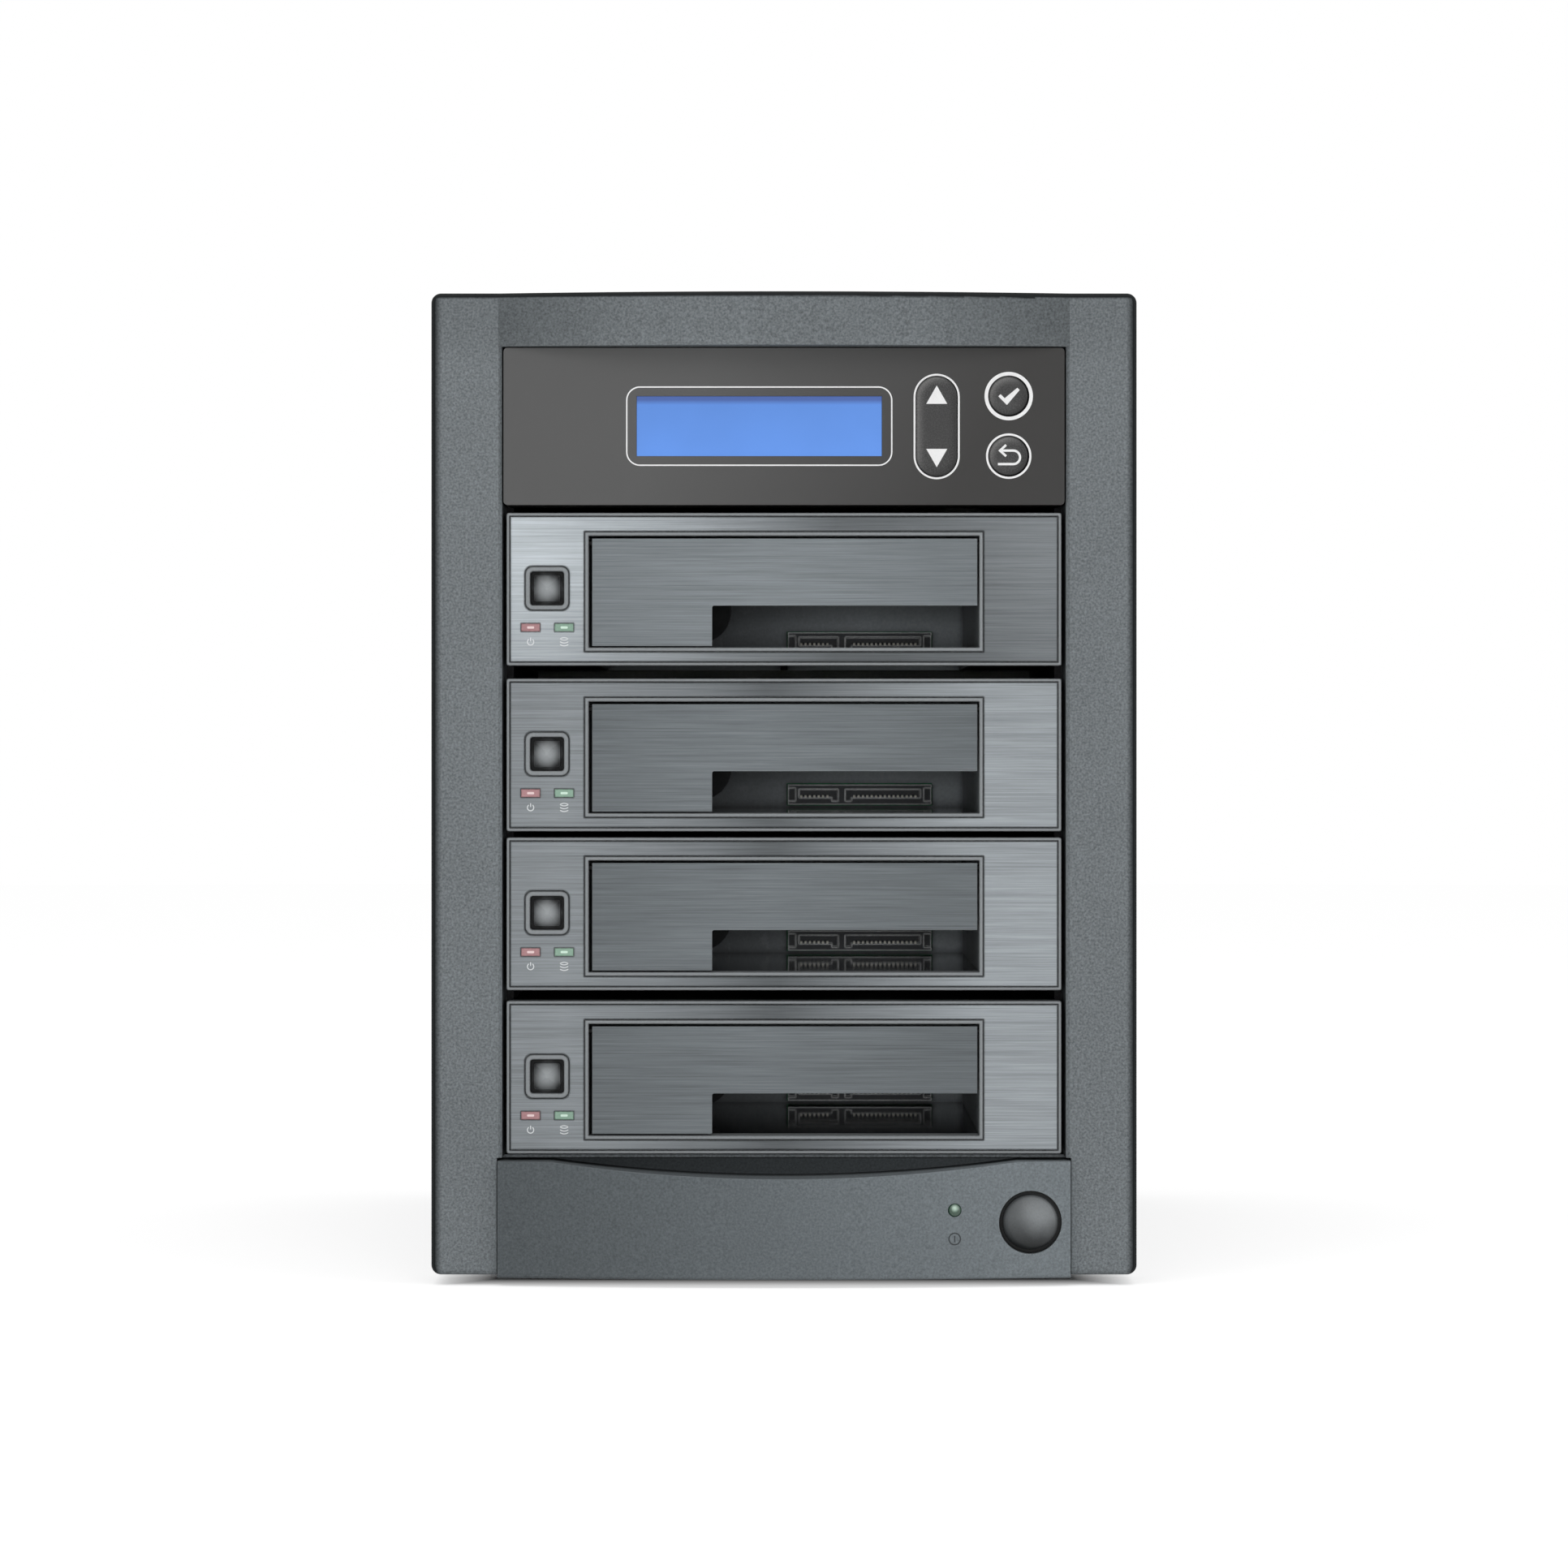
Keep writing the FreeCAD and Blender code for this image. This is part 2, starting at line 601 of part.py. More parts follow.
def build_rear_panel():
    body = new_body("rear_panel")
    half = INSIDE - size.fit_gap
    top = size.cover_top - size.sheet - size.fit_gap
    inner = BACK - size.sheet
    pad(body, "front", inner, BACK, box(-half, half, CASE_LOW, top))
    flange = size.thumb_reach + 4
    flange_low = FLOOR + size.tray_flange + 1
    for left, right in ((-half, -half + size.sheet), (half - size.sheet, half)):
        pad(body, "side", left, right, box(inner - flange, inner, flange_low, top))
    holes = [disc(across, up, size.thumb_shank + 0.2) for across, up in thumb_places()]
    pocket(body, "front", inner, BACK, *holes)
    window = size.supply_width / 2 - 3
    pocket(
        body, "front", inner, BACK,
        box(-window, window, size.supply_low + 3, size.supply_low + size.supply_high - 3, 3),
    )
    slots = grille_slots()
    for row in range(5):
        low = FLOOR + 10 + 6 * row
        slots.append(box(-60, -10, low, low + 3))
        slots.append(box(10, 60, low, low + 3))
    for first in range(0, len(slots), 8):
        pocket(body, "front", inner, BACK, *slots[first:first + 8])
    pocket(body, "front", inner, BACK, *fan_holes(size.case_fan_across, size.case_fan_up))


def grille_slots():
    """Slots in two columns that fill the circle behind the case fan."""
    slots = []
    radius = size.fan_bore / 2 - 1
    web = size.grille_slot / 2
    for row in range(-5, 6):
        middle = row * size.grille_pitch
        reach = (radius * radius - middle * middle).root()
        low = size.case_fan_up + middle - size.grille_slot / 2
        high = low + size.grille_slot
        centre = size.case_fan_across
        slots.append(box(centre - reach, centre - web, low, high))
        slots.append(box(centre + web, centre + reach, low, high))
    return slots


def fan_holes(across, up, width=None):
    """The four corner holes of a fan."""
    reach = size.fan_screws / 2
    width = size.fan_screw if width is None else width
    return [disc(across + x * reach, up + z * reach, width) for x in (-1, 1) for z in (-1, 1)]


def build_front_frame():
    body = new_body("front_frame")
    half = INSIDE - size.fit_gap
    top = size.cover_top - size.sheet - size.fit_gap
    pad(body, "front", CASE_FRONT, CASE_FRONT + size.sheet, box(-half, half, CASE_LOW, top))
    inner = CAGE - size.sheet
    pocket(
        body, "front", CASE_FRONT, CASE_FRONT + size.sheet,
        box(-inner, inner, size.rack_four - 1, size.control_high),
        box(size.power_across - 16, size.power_across + 16, FLOOR + 3, size.power_up + 12),
    )


def build_bay_cage():
    body = new_body("bay_cage")
    front = CASE_FRONT + size.sheet
    pad(body, "front", front, CAGE_BACK, u_shape(CAGE, size.cage_high, size.sheet, FLOOR))
    for name in RACKS:
        back = RACK_FACE + size.screw_first
        up = RACK_LOW[name] + size.screw_up
        low = RACK_LOW[name] + 19
        hole = size.screw_shank + 0.3
        pocket(body, "side", -CAGE, CAGE, disc(back, up, hole), disc(back + size.screw_pitch, up, hole),
               box(front + 30, CAGE_BACK - 24, low, low + 14, 3))


# Front bezel
def build_front_bezel():
    body = new_body("front_bezel")
    half = size.bezel_width / 2
    opening = size.bay_opening / 2
    back = CASE_FRONT
    wall = size.bezel_wall
    outline = box(-half, half, size.bezel_low, size.bezel_high, size.bezel_corner)
    pad(body, "front", FRONT, back, outline)
    reach = opening + 1
    bow = path((reach, FRONT + 1), (-reach, FRONT + 1), (-reach, FRONT, size.bar_bow), (reach, FRONT))
    pad(body, "top", size.bay_ceiling, size.bezel_high, bow)
    sill = size.panel_high + size.bay_sill
    pocket(body, "front", FRONT - 1, back, box(-opening, opening, sill, size.bay_ceiling))
    seam = size.panel_width / 2 + size.panel_seam
    pocket(body, "front", FRONT - 1, FRONT + size.rail_setback, box(-seam, seam, 0, sill))
    column = (seam + wall, half - wall)
    hollow_low = size.bezel_low + wall
    hollow_high = size.bezel_high - wall
    for side in (-1, 1):
        left = side * (column[0] if side > 0 else column[1])
        right = side * (column[1] if side > 0 else column[0])
        pocket(body, "front", FRONT + wall, back, box(left, right, hollow_low, hollow_high))
    bar_low = size.bay_ceiling + wall
    pocket(body, "front", FRONT + wall, back, box(-column[0] + 2, column[0] - 2, bar_low, hollow_high))
    rail_low = size.bezel_low
    pocket(body, "front", FRONT, back, box(-seam + 6, seam - 6, rail_low - 1, rail_low + 3))
    pocket(
        body, "front", FRONT, back,
        disc(size.power_across, size.power_up, size.power_cap - 2),
        disc(size.light_across, size.light_up, size.light_width + 2),
    )
    top = size.bezel_high.value
    front = FRONT.value
    low = size.bezel_low.value

    def outer_edge(bounds):
        at_face = bounds.YMin < front + 0.01 and bounds.YMax < front + 0.01
        at_side = near(abs(bounds.XMin), half) and near(abs(bounds.XMax), half)
        at_corner = bounds.XLength < 3 and bounds.ZLength < 3 and abs(bounds.XMin) > half.value - 3
        at_top = near(bounds.ZMin, top) and near(bounds.ZMax, top)
        at_low = near(bounds.ZMin, low) and near(bounds.ZMax, low) and abs(bounds.XMin) > seam.value - 1
        return at_face and (at_side or at_corner or at_top or at_low)

    dress("Fillet", body, size.bezel_edge, outer_edge)
    bevel = size.bay_bevel
    pocket(
        body, "top", sill, size.bay_ceiling,
        path((opening, FRONT), (opening + bevel, FRONT), (opening, FRONT + bevel)),
        path((-opening, FRONT), (-opening, FRONT + bevel), (-opening - bevel, FRONT)),
    )


def panel_curve(inset):
    """The bowed outline of the lower panel seen from the top, moved in by a wall."""
    half = size.panel_width / 2 - inset
    side = FRONT - size.panel_step + inset
    rise = size.panel_bow - size.panel_step
    back = FRONT + size.panel_depth
    return path((half, back), (-half, back), (-half, side, rise), (half, side))


def build_lower_panel():
    body = new_body("lower_panel")
    wall = size.bezel_wall
    middle = FRONT - size.panel_bow
    pad(body, "top", size.panel_low, size.panel_high, panel_curve(as_size(0)))
    hollow_high = size.panel_high - size.scoop_drop - wall
    pocket(body, "top", size.panel_low + wall, hollow_high, panel_curve(wall))
    reach = size.scoop_width / 2
    above = size.panel_high + 1
    scoop = path((reach, above), (-reach, above), (-reach, size.panel_high, size.scoop_drop),
                 (reach, size.panel_high))
    pocket(body, "front", middle - 1, FRONT + size.panel_depth - wall, scoop)
    hole = size.power_cap + 2 * size.power_gap
    pocket(
        body, "front", middle - 1, FRONT + 2,
        disc(size.power_across, size.power_up, hole),
        disc(size.light_across, size.light_up, size.light_width + 0.1),
    )
    collar = power_collar_radius()
    pocket(body, "front", power_seat(), FRONT + size.panel_depth,
           disc(size.power_across, size.power_up, 2 * (collar + 0.4)))
    low = size.panel_low.value

    def lower_edge(bounds):
        forward = bounds.YMax < FRONT.value - size.panel_step.value + 0.05
        return near(bounds.ZMin, low) and near(bounds.ZMax, low) and forward and bounds.XLength > 20

    dress("Fillet", body, 0.8, lower_edge)


def panel_front_at(across):
    """Where the bowed face of the lower panel is, at a distance from the middle."""
    half = size.panel_width / 2
    rise = size.panel_bow - size.panel_step
    radius = (half * half + rise * rise) / (2 * rise)
    return FRONT - size.panel_bow + radius - (radius * radius - across * across).root()


def power_collar_radius():
    return size.power_cap / 2 + size.power_gap + size.power_collar


def power_seat():
    """The plane behind the lower panel's wall that the power button's collar rests against."""
    return panel_front_at(size.power_across + power_collar_radius()) + size.bezel_wall / 2


def power_stem_end():
    return FRONT + size.rail_setback + 2


def build_power_button():
    rim = panel_front_at(size.power_across) + size.power_proud
    body = new_body("power_button", size.power_across, rim, size.power_up)
    radius = size.power_cap / 2
    collar = power_collar_radius()
    inner_face = power_seat() + size.seat_gap - rim
    stem = size.power_cap / 2 - 3.5
    length = power_stem_end() - rim
    outline = path(
        (0, -size.power_dome, 0.25 * size.power_dome), (radius, 0), (radius, inner_face),
        (collar, inner_face), (collar, inner_face + 1.5), (stem, inner_face + 1.5),
        (stem, length), (0, length),
    )
    turn(body, outline, "Y_Axis", view="top")


def build_power_switch():
    body = new_body("power_switch", size.power_across, 0, size.power_up)
    half = size.switch_body / 2
    front = FRONT + size.bezel_depth
    pad(body, "front", front, front + 14, box(-half, half, -half, half, 1))
    pad(body, "front", front - 3, front, disc(0, 0, size.power_cap - 2.4))
    pad(body, "front", power_stem_end() + size.power_travel + size.fit_gap, front - 3, disc(0, 0, 4))
    pad(body, "front", front + 14, front + 18, box(-4, -2, -1, 1), box(2, 4, -1, 1))
    pad(body, "front", front, front + 1.5, box(-half - 9, half + 1, -half, half))


def build_power_light():
    face = panel_front_at(size.light_across)
    body = new_body("power_light", size.light_across, face, size.light_up)
    radius = size.light_width / 2
    outline = path(
        (0, -0.8, 0.25), (radius, 0.2), (radius, 14), (radius + 0.6, 14), (radius + 0.6, 16), (0, 16),
    )
    turn(body, outline, "Y_Axis", view="top")


# Drive racks
def slot_path(left, right, low, high, notch_left, notch_high):
    """The door's outline: a rectangle without its lower right corner."""
    return path((left, low), (notch_left, low), (notch_left, notch_high),
                (right, notch_high), (right, high), (left, high))


def build_rack_bezel(name):
    body = new_body("rack_%s_bezel" % name, 0, RACK_FACE, RACK_LOW[name])
    half = size.rack_width / 2
    high = size.rack_high
    rim = size.rack_rim
    wall = size.rack_wall
    edge = size.frame_rim
    pad(body, "front", 0, size.rack_front, box(-half, half, 0, high, 0.6))
    surround = size.eject_surround / 2
    opening = HALF_DRIVE + edge
    pocket(
        body, "front", 0, size.plate_seat,
        box(-half + rim, half - rim, rim, high - rim),
        box(-opening, opening, size.drive_floor - edge, size.drive_ceiling + edge),
        box(-size.eject_across - surround, -size.eject_across + surround,
            size.eject_up - surround, size.eject_up + surround, size.eject_corner),
    )
    well = size.eject_well / 2
    pocket(
        body, "front", 0, size.rack_front,
        box(-HALF_DRIVE, HALF_DRIVE, size.drive_floor, size.drive_ceiling),
        box(-size.eject_across - well, -size.eject_across + well,
            size.eject_up - well, size.eject_up + well, 0.8),
    )
    lens = size.lens_width / 2
    lens_low = size.lens_up - size.lens_high / 2
    lens_high = size.lens_up + size.lens_high / 2
    pocket(
        body, "front", 0, size.rack_front,
        box(-size.red_across - lens, -size.red_across + lens, lens_low, lens_high),
        box(-size.green_across - lens, -size.green_across + lens, lens_low, lens_high),
    )
    inner = HALF_DRIVE + wall
    back_low = size.eject_up - size.eject_surround / 2 - 0.4
    pocket(
        body, "front", wall + 0.3, size.rack_front,
        box(-half + wall, -inner, back_low, high - wall),
        box(inner, half - wall, wall, high - wall),
        box(-HALF_DRIVE, HALF_DRIVE, size.drive_ceiling + wall, high - wall),
    )
    bearing = HALF_DRIVE + size.pivot_reach + 0.1
    pocket(body, "side", -bearing, bearing, disc(DOOR_AXIS_BACK, DOOR_AXIS_UP, size.pivot + 2 * size.running))


def build_faceplates():
    body = new_body("rack_faceplates", 0, RACK_FACE, 0)
    gap = size.rack_groove
    half = size.rack_width / 2 - size.rack_rim - gap
    edge = size.frame_rim + gap
    surround = size.eject_surround / 2 + gap
    front = size.plate_seat - size.plate_thick
    lens = size.lens_width / 2
    opening = HALF_DRIVE + edge
    for name in RACKS:
        low = RACK_LOW[name]
        button = low + size.eject_up
        lens_low = low + size.lens_up - size.lens_high / 2
        lens_high = lens_low + size.lens_high
        pad(
            body, "front", front, size.plate_seat,
            box(-half, half, low + size.rack_rim + gap, low + size.rack_high - size.rack_rim - gap),
            box(-opening, opening, low + size.drive_floor - edge, low + size.drive_ceiling + edge),
            box(-size.eject_across - surround, -size.eject_across + surround,
                button - surround, button + surround, size.eject_corner),
            box(-size.red_across - lens, -size.red_across + lens, lens_low, lens_high),
            box(-size.green_across - lens, -size.green_across + lens, lens_low, lens_high),
        )


def build_lenses(label, across):
    """The lenses of one colour, one for each rack."""
    body = new_body(label, 0, RACK_FACE, 0)
    lens = size.lens_width / 2 - 0.05
    reach = size.lens_high / 2 - 0.05
    shapes = []
    for name in RACKS:
        middle = RACK_LOW[name] + size.lens_up
        shapes.append(box(-across - lens, -across + lens, middle - reach, middle + reach))
    pad(body, "front", 0.25, size.rack_front - 1, *shapes)


def build_door(name):
    body = new_body("rack_%s_door" % name, 0, RACK_FACE, RACK_LOW[name])
    left = -HALF_DRIVE + size.door_left
    right = HALF_DRIVE - size.door_right
    low = size.drive_floor + size.door_under
    front = size.door_recess
    pad(body, "front", front, front + size.door_thick,
        slot_path(left, right, low, DOOR_TOP, -size.slot_left, size.slot_high))
    pad(body, "side", left, right, disc(DOOR_AXIS_BACK, DOOR_AXIS_UP, size.door_barrel))
    reach = HALF_DRIVE + size.pivot_reach
    pad(body, "side", -reach, reach, disc(DOOR_AXIS_BACK, DOOR_AXIS_UP, size.pivot))
    rib = front + size.door_thick
    pad(body, "front", rib, rib + 0.8,
        box(left + 2, left + 3.2, low + 2, DOOR_AXIS_UP),
        box(right - 3.2, right - 2, size.slot_high + 1, DOOR_AXIS_UP),
        box(left + 3.2, -size.slot_left - 1, low + 2, low + 3.2))

    def notch_corner(bounds):
        along_y = bounds.XLength < 0.01 and bounds.ZLength < 0.01
        return along_y and near(bounds.XMin, -size.slot_left) and near(bounds.ZMax, size.slot_high)

    dress("Fillet", body, size.slot_corner, notch_corner)


def build_eject_button(name):
    """The square cap, its push rod, and the rod's collar that ends the travel at the first rib."""
    up = RACK_LOW[name] + size.eject_up
    body = new_body("rack_%s_eject_button" % name, -size.eject_across, RACK_FACE, up)
    half = size.eject_cap / 2
    rim = as_size(0.9)
    pad(body, "front", rim, size.rack_wall + 0.6, box(-half, half, -half, half, 0.6))
    dome = body.newObject("PartDesign::AdditiveLoft", "Loft")
    base = sketch_on(body, "front", rim)
    box(-half + 0.2, half - 0.2, -half + 0.2, half - 0.2)(base)
    crown = sketch_on(body, "front", rim - size.eject_peak)
    box(-0.5, 0.5, -0.5, 0.5)(crown)
    dome.Profile = base
    dome.Sections = [crown]
    dome.Ruled = True
    flange = size.eject_well / 2 + 0.9
    pad(body, "front", size.rack_wall + 0.6, size.rack_wall + 1.8, box(-flange, flange, -flange, flange))
    rod = size.rod_width / 2
    tall = size.rod_high / 2
    end = size.lever_back - size.lever_thick / 2 - size.rod_gap
    pad(body, "front", size.rack_wall + 1.8, end - size.rod_tip, box(-rod, rod, -tall, tall))
    pad(body, "front", end - size.rod_tip, end, box(-rod, 0, -tall, tall))
    stop = size.rib_first - size.eject_travel - size.fit_gap
    pad(body, "front", stop - 1.5, stop, box(-rod - 1.2, rod + 1.2, -tall, tall))


def build_housing(name):
    body = new_body("rack_%s_housing" % name, 0, RACK_FACE, RACK_LOW[name])
    front = size.rack_front
    wall = size.body_wall
    chamber_wall = HALF_DRIVE + wall
    pad(body, "top", size.body_low, size.body_high, box(-HALF_BODY, HALF_BODY, front, size.rack_deep))
    chamber = box(-HALF_DRIVE, HALF_DRIVE, front, size.chamber_deep)
    pocket(body, "top", size.drive_floor, size.body_high, chamber)
    rear = size.chamber_deep + wall
    side_floor = size.body_low + wall
    pocket(
        body, "top", side_floor, size.body_high,
        box(-HALF_BODY + wall, -chamber_wall, front, size.rack_deep - wall),
        box(chamber_wall, HALF_BODY - wall, front, size.rack_deep - wall),
    )
    pocket(body, "top", side_floor, size.body_high, box(-HALF_DRIVE, HALF_DRIVE, rear, size.rack_deep))
    pocket(
        body, "top", size.body_low, size.drive_floor - wall,
        box(-HALF_DRIVE + 1, -1, front + 2, size.chamber_deep - 2),
        box(1, HALF_DRIVE - 1, front + 2, size.chamber_deep - 2),
    )
    plug = size.plug_width / 2 + 0.4
    plug_low = size.drive_floor + size.plug_up - 0.4
    pocket(
        body, "front", size.chamber_deep, rear,
        box(size.plug_across - plug, size.plug_across + plug, plug_low, plug_low + size.plug_high + 0.8),
    )
    lever_low = size.drive_floor + 1
    arm_end = size.arm_back + size.arm_length + 2
    pocket(
        body, "side", -chamber_wall, -HALF_DRIVE,
        box(size.lever_back - 14, size.lever_back + 3, lever_low, lever_low + 10),
        box(size.arm_back - 1.5, arm_end, size.arm_low - 0.5, size.arm_high + 0.5),
    )
    pad(body, "top", side_floor, size.eject_up + 1.5, disc(-size.lever_across, size.lever_back, size.post))
    pad(body, "top", side_floor, size.arm_high + 1, disc(-size.arm_across, size.arm_back, size.post))
    rod = size.rod_width / 2 + 0.3
    guide = path(
        (-HALF_BODY + wall, side_floor), (-chamber_wall, side_floor), (-chamber_wall, size.body_high - 4),
        (-size.eject_across + rod, size.body_high - 4), (-size.eject_across + rod, size.eject_up - 2.3),
        (-size.eject_across - rod, size.eject_up - 2.3), (-size.eject_across - rod, size.body_high - 4),
        (-HALF_BODY + wall, size.body_high - 4),
    )
    for rib in (size.rib_first, size.rib_second):
        pad(body, "front", rib, rib + wall, guide)
    hole = size.screw_shank + 0.1
    holes = [disc(size.screw_first + row * size.screw_pitch, size.screw_up, hole) for row in range(2)]
    pocket(body, "side", -HALF_BODY, -HALF_BODY + wall, *holes)
    pocket(body, "side", HALF_BODY - wall, HALF_BODY, *holes)


def build_ejector(name):
    back = RACK_FACE + size.lever_back
    body = new_body("rack_%s_ejector" % name, -size.lever_across, back, RACK_LOW[name])
    half = size.lever_thick / 2
    bore = size.post + 2 * size.running
    hub = size.post + 3
    low = size.body_low + size.body_wall + 0.2
    high = size.eject_up + 1
    pad(body, "top", low, high, disc(0, 0, hub), disc(0, 0, bore))
    reach = size.post / 2 + 0.6
    pad(body, "top", size.eject_up - 2, high, box(-size.lever_short, -reach, -half, half))
    pad(body, "top", size.eject_up - 2, high, disc(-size.lever_short, 0, size.lever_thick))
    arm_low = size.drive_floor + 1.4
    pad(body, "top", arm_low, arm_low + 6, box(reach, size.lever_long, -half, half, 1))


def build_guide_arm(name):
    back = RACK_FACE + size.arm_back
    body = new_body("rack_%s_guide_arm" % name, -size.arm_across, back, RACK_LOW[name])
    half = size.arm_thick / 2
    bore = size.post + 2 * size.running
    hub = size.post + 2.2
    pad(body, "top", size.arm_low, size.arm_high, disc(0, 0, hub), disc(0, 0, bore))
    reach = size.post / 2 + 0.5
    end = size.arm_length
    corner = size.arm_corner
    sag = corner * (1 - math.sqrt(0.5))
    plate = path((reach, size.arm_low), (end - corner, size.arm_low, sag), (end, size.arm_low + corner),
                 (end, size.arm_high), (reach, size.arm_high))
    pad(body, "front", -half, half, plate)


def build_connectors():
    """The drive connectors: each has a data slot and a power slot, both keyed at their inner ends."""
    body = new_body("sata_connectors", size.plug_across, RACK_FACE, 0)
    half = size.plug_width / 2
    end = half - size.plug_end
    shapes = []
    slots = []
    ears = []
    for name in RACKS:
        low = RACK_LOW[name] + size.drive_floor + size.plug_up
        high = low + size.plug_high
        slot_low = low + size.plug_slot_low
        slot_high = low + size.plug_slot_high
        key_low = low + size.plug_key_low
        left = -size.plug_web_left
        right = -size.plug_web_right
        shapes.append(box(-half, half, low, high))
        slots.append(path((-end, slot_low), (left - size.plug_key_width, slot_low),
                          (left - size.plug_key_width, key_low), (left, key_low),
                          (left, slot_high), (-end, slot_high)))
        slots.append(path((right, key_low), (right + size.plug_key_width, key_low),
                          (right + size.plug_key_width, slot_low), (end, slot_low),
                          (end, slot_high), (right, slot_high)))
        ears.append(box(-half - 0.1, -half + 2.2, key_low, slot_high + 0.4))
        ears.append(box(half - 2.2, half + 0.1, key_low, slot_high + 0.4))
    front = size.chamber_deep - size.plug_reach
    pad(body, "front", front, size.chamber_deep + size.body_wall, *shapes)
    pocket(body, "front", front, front + size.plug_slot_deep, *slots)
    pocket(body, "front", front, front + size.plug_slot_deep - 1, *ears)


def build_backplanes():
    body = new_body("backplane_boards", 0, RACK_FACE, 0)
    front = size.chamber_deep + size.body_wall
    boards = []
    sockets = []
    for name in RACKS:
        low = RACK_LOW[name]
        boards.append(box(-HALF_DRIVE + 2, HALF_DRIVE - 2, low + 3, low + size.body_high - 2))
        sockets.append(box(-34, -19, low + 16, low + 22))
        sockets.append(box(-8, 14, low + 16, low + 24))
    pad(body, "front", front, front + size.board_thick, *boards)
    pad(body, "front", front + size.board_thick, front + size.board_thick + 5.5, *sockets)


def build_rack_lids():
    body = new_body("rack_top_covers", 0, RACK_FACE, 0)
    shapes = []
    for name in RACKS:
        low = RACK_LOW[name] + size.body_high
        shapes.append(box(-HALF_BODY, HALF_BODY, low, low + size.lid_thick))
    pad(body, "front", size.rack_front, size.rack_deep, *shapes)


def build_rack_screws():
    body = new_body("rack_screws")
    for side in (-1, 1):
        heads = []
        shanks = []
        for name in RACKS:
            for row in range(2):
                back = RACK_FACE + size.screw_first + row * size.screw_pitch
                up = RACK_LOW[name] + size.screw_up
                heads.append(disc(back, up, size.screw_head))
                shanks.append(disc(back, up, size.screw_shank))
        if side > 0:
            pad(body, "side", CAGE, CAGE + size.screw_crown, *heads)
            pad(body, "side", CAGE - size.screw_reach, CAGE, *shanks)
        else:
            pad(body, "side", -CAGE - size.screw_crown, -CAGE, *heads)
            pad(body, "side", -CAGE, -CAGE + size.screw_reach, *shanks)


# Control panel
def build_control_panel():
    body = new_body("control_panel", 0, FRONT, 0)
    half = size.control_width / 2
    low = size.control_low
    high = size.control_high
    face = size.control_face
    gap = size.key_gap
    pad(body, "front", 0, size.control_deep, box(-half, half, low, high, size.control_corner))
    wall = face + 0.4
    pocket(body, "front", face, size.control_deep, box(-half + wall, half - wall, low + wall, high - wall))
    window = size.display_width / 2 + 0.05
    tall = size.display_high / 2 + 0.05
    key = size.key_width + 2 * gap
    arrow = size.arrow_width / 2 + gap
    arrow_tall = size.arrow_high / 2 + gap
    pocket(
        body, "front", 0, face,
        box(-size.display_across - window, -size.display_across + window,
            size.display_up - tall, size.display_up + tall),
        box(size.arrow_across - arrow, size.arrow_across + arrow,
            size.arrow_up - arrow_tall, size.arrow_up + arrow_tall, arrow - 0.01),
        disc(size.key_across, size.confirm_up, key),
        disc(size.key_across, size.return_up, key),
    )


def build_display_window():
    body = new_body("display_window", -size.display_across, FRONT, size.display_up)
    wide = size.display_width / 2
    tall = size.display_high / 2
    pad(body, "front", 0.4, size.control_face, box(-wide, wide, -tall, tall))


def build_front_board():
    """The board behind the keys, with the display module, the key switches and the key's brackets."""
    body = new_body("front_board", 0, FRONT, 0)
    board = size.control_face + size.front_board_gap
    left = -size.control_width / 2 + 6.8
    right = size.control_width / 2 - 4.8
    pad(body, "front", board, board + size.board_thick,
        box(left, right, size.control_low + 4, size.control_high - 4))
    wide = size.display_width / 2 + 3
    tall = size.display_high / 2 + 4
    pad(body, "front", size.control_face + 0.1, board,
        box(-size.display_across - wide, -size.display_across + wide,
            size.display_up - tall, size.display_up + tall))
    switches = []
    for across, up in key_switch_places():
        switches.append(box(across - 3, across + 3, up - 3, up + 3))
    pad(body, "front", board - size.key_switch, board, *switches)
    back = board + size.board_thick
    pad(body, "front", back, back + 6, box(-60, -30, size.control_low + 6, size.control_low + 14))
    pin = size.control_face + size.key_pin_back
    inner = size.arrow_width / 2 + size.key_collar + 0.3
    outer = size.arrow_width / 2 + size.key_collar + size.key_pin_reach
    low = size.arrow_up - size.key_bracket / 2
    high = size.arrow_up + size.key_bracket / 2
    pad(body, "front", pin, board,
        box(size.arrow_across - outer, size.arrow_across - inner, low, high),
        box(size.arrow_across + inner, size.arrow_across + outer, low, high))
    pocket(body, "side", size.arrow_across - outer, size.arrow_across + outer,
           disc(pin, size.arrow_up, size.key_pin + 2 * size.running))


def key_switch_places():
    """The four key switches on the front board, behind the keys."""
    lever = size.arrow_high / 2 - 5
    return (
        (size.key_across, size.confirm_up),
        (size.key_across, size.return_up),
        (size.arrow_across, size.arrow_up + lever),
        (size.arrow_across, size.arrow_up - lever),
    )


def build_round_key(label, up):
    body = new_body(label, size.key_across, FRONT, up)
    radius = size.key_width / 2
    collar = radius + size.key_gap + size.key_collar
    face = size.control_face
    stem = face + size.front_board_gap - size.key_switch - size.key_travel - 0.1
    outline = path(
        (0, -size.key_proud, 0.12), (radius - 0.4, -0.2), (radius, 0.2), (radius, face + 0.3),
        (collar, face + 0.3), (collar, face + 1.3), (1.8, face + 1.3), (1.8, stem), (0, stem),
    )
    turn(body, outline, "Y_Axis", view="top")


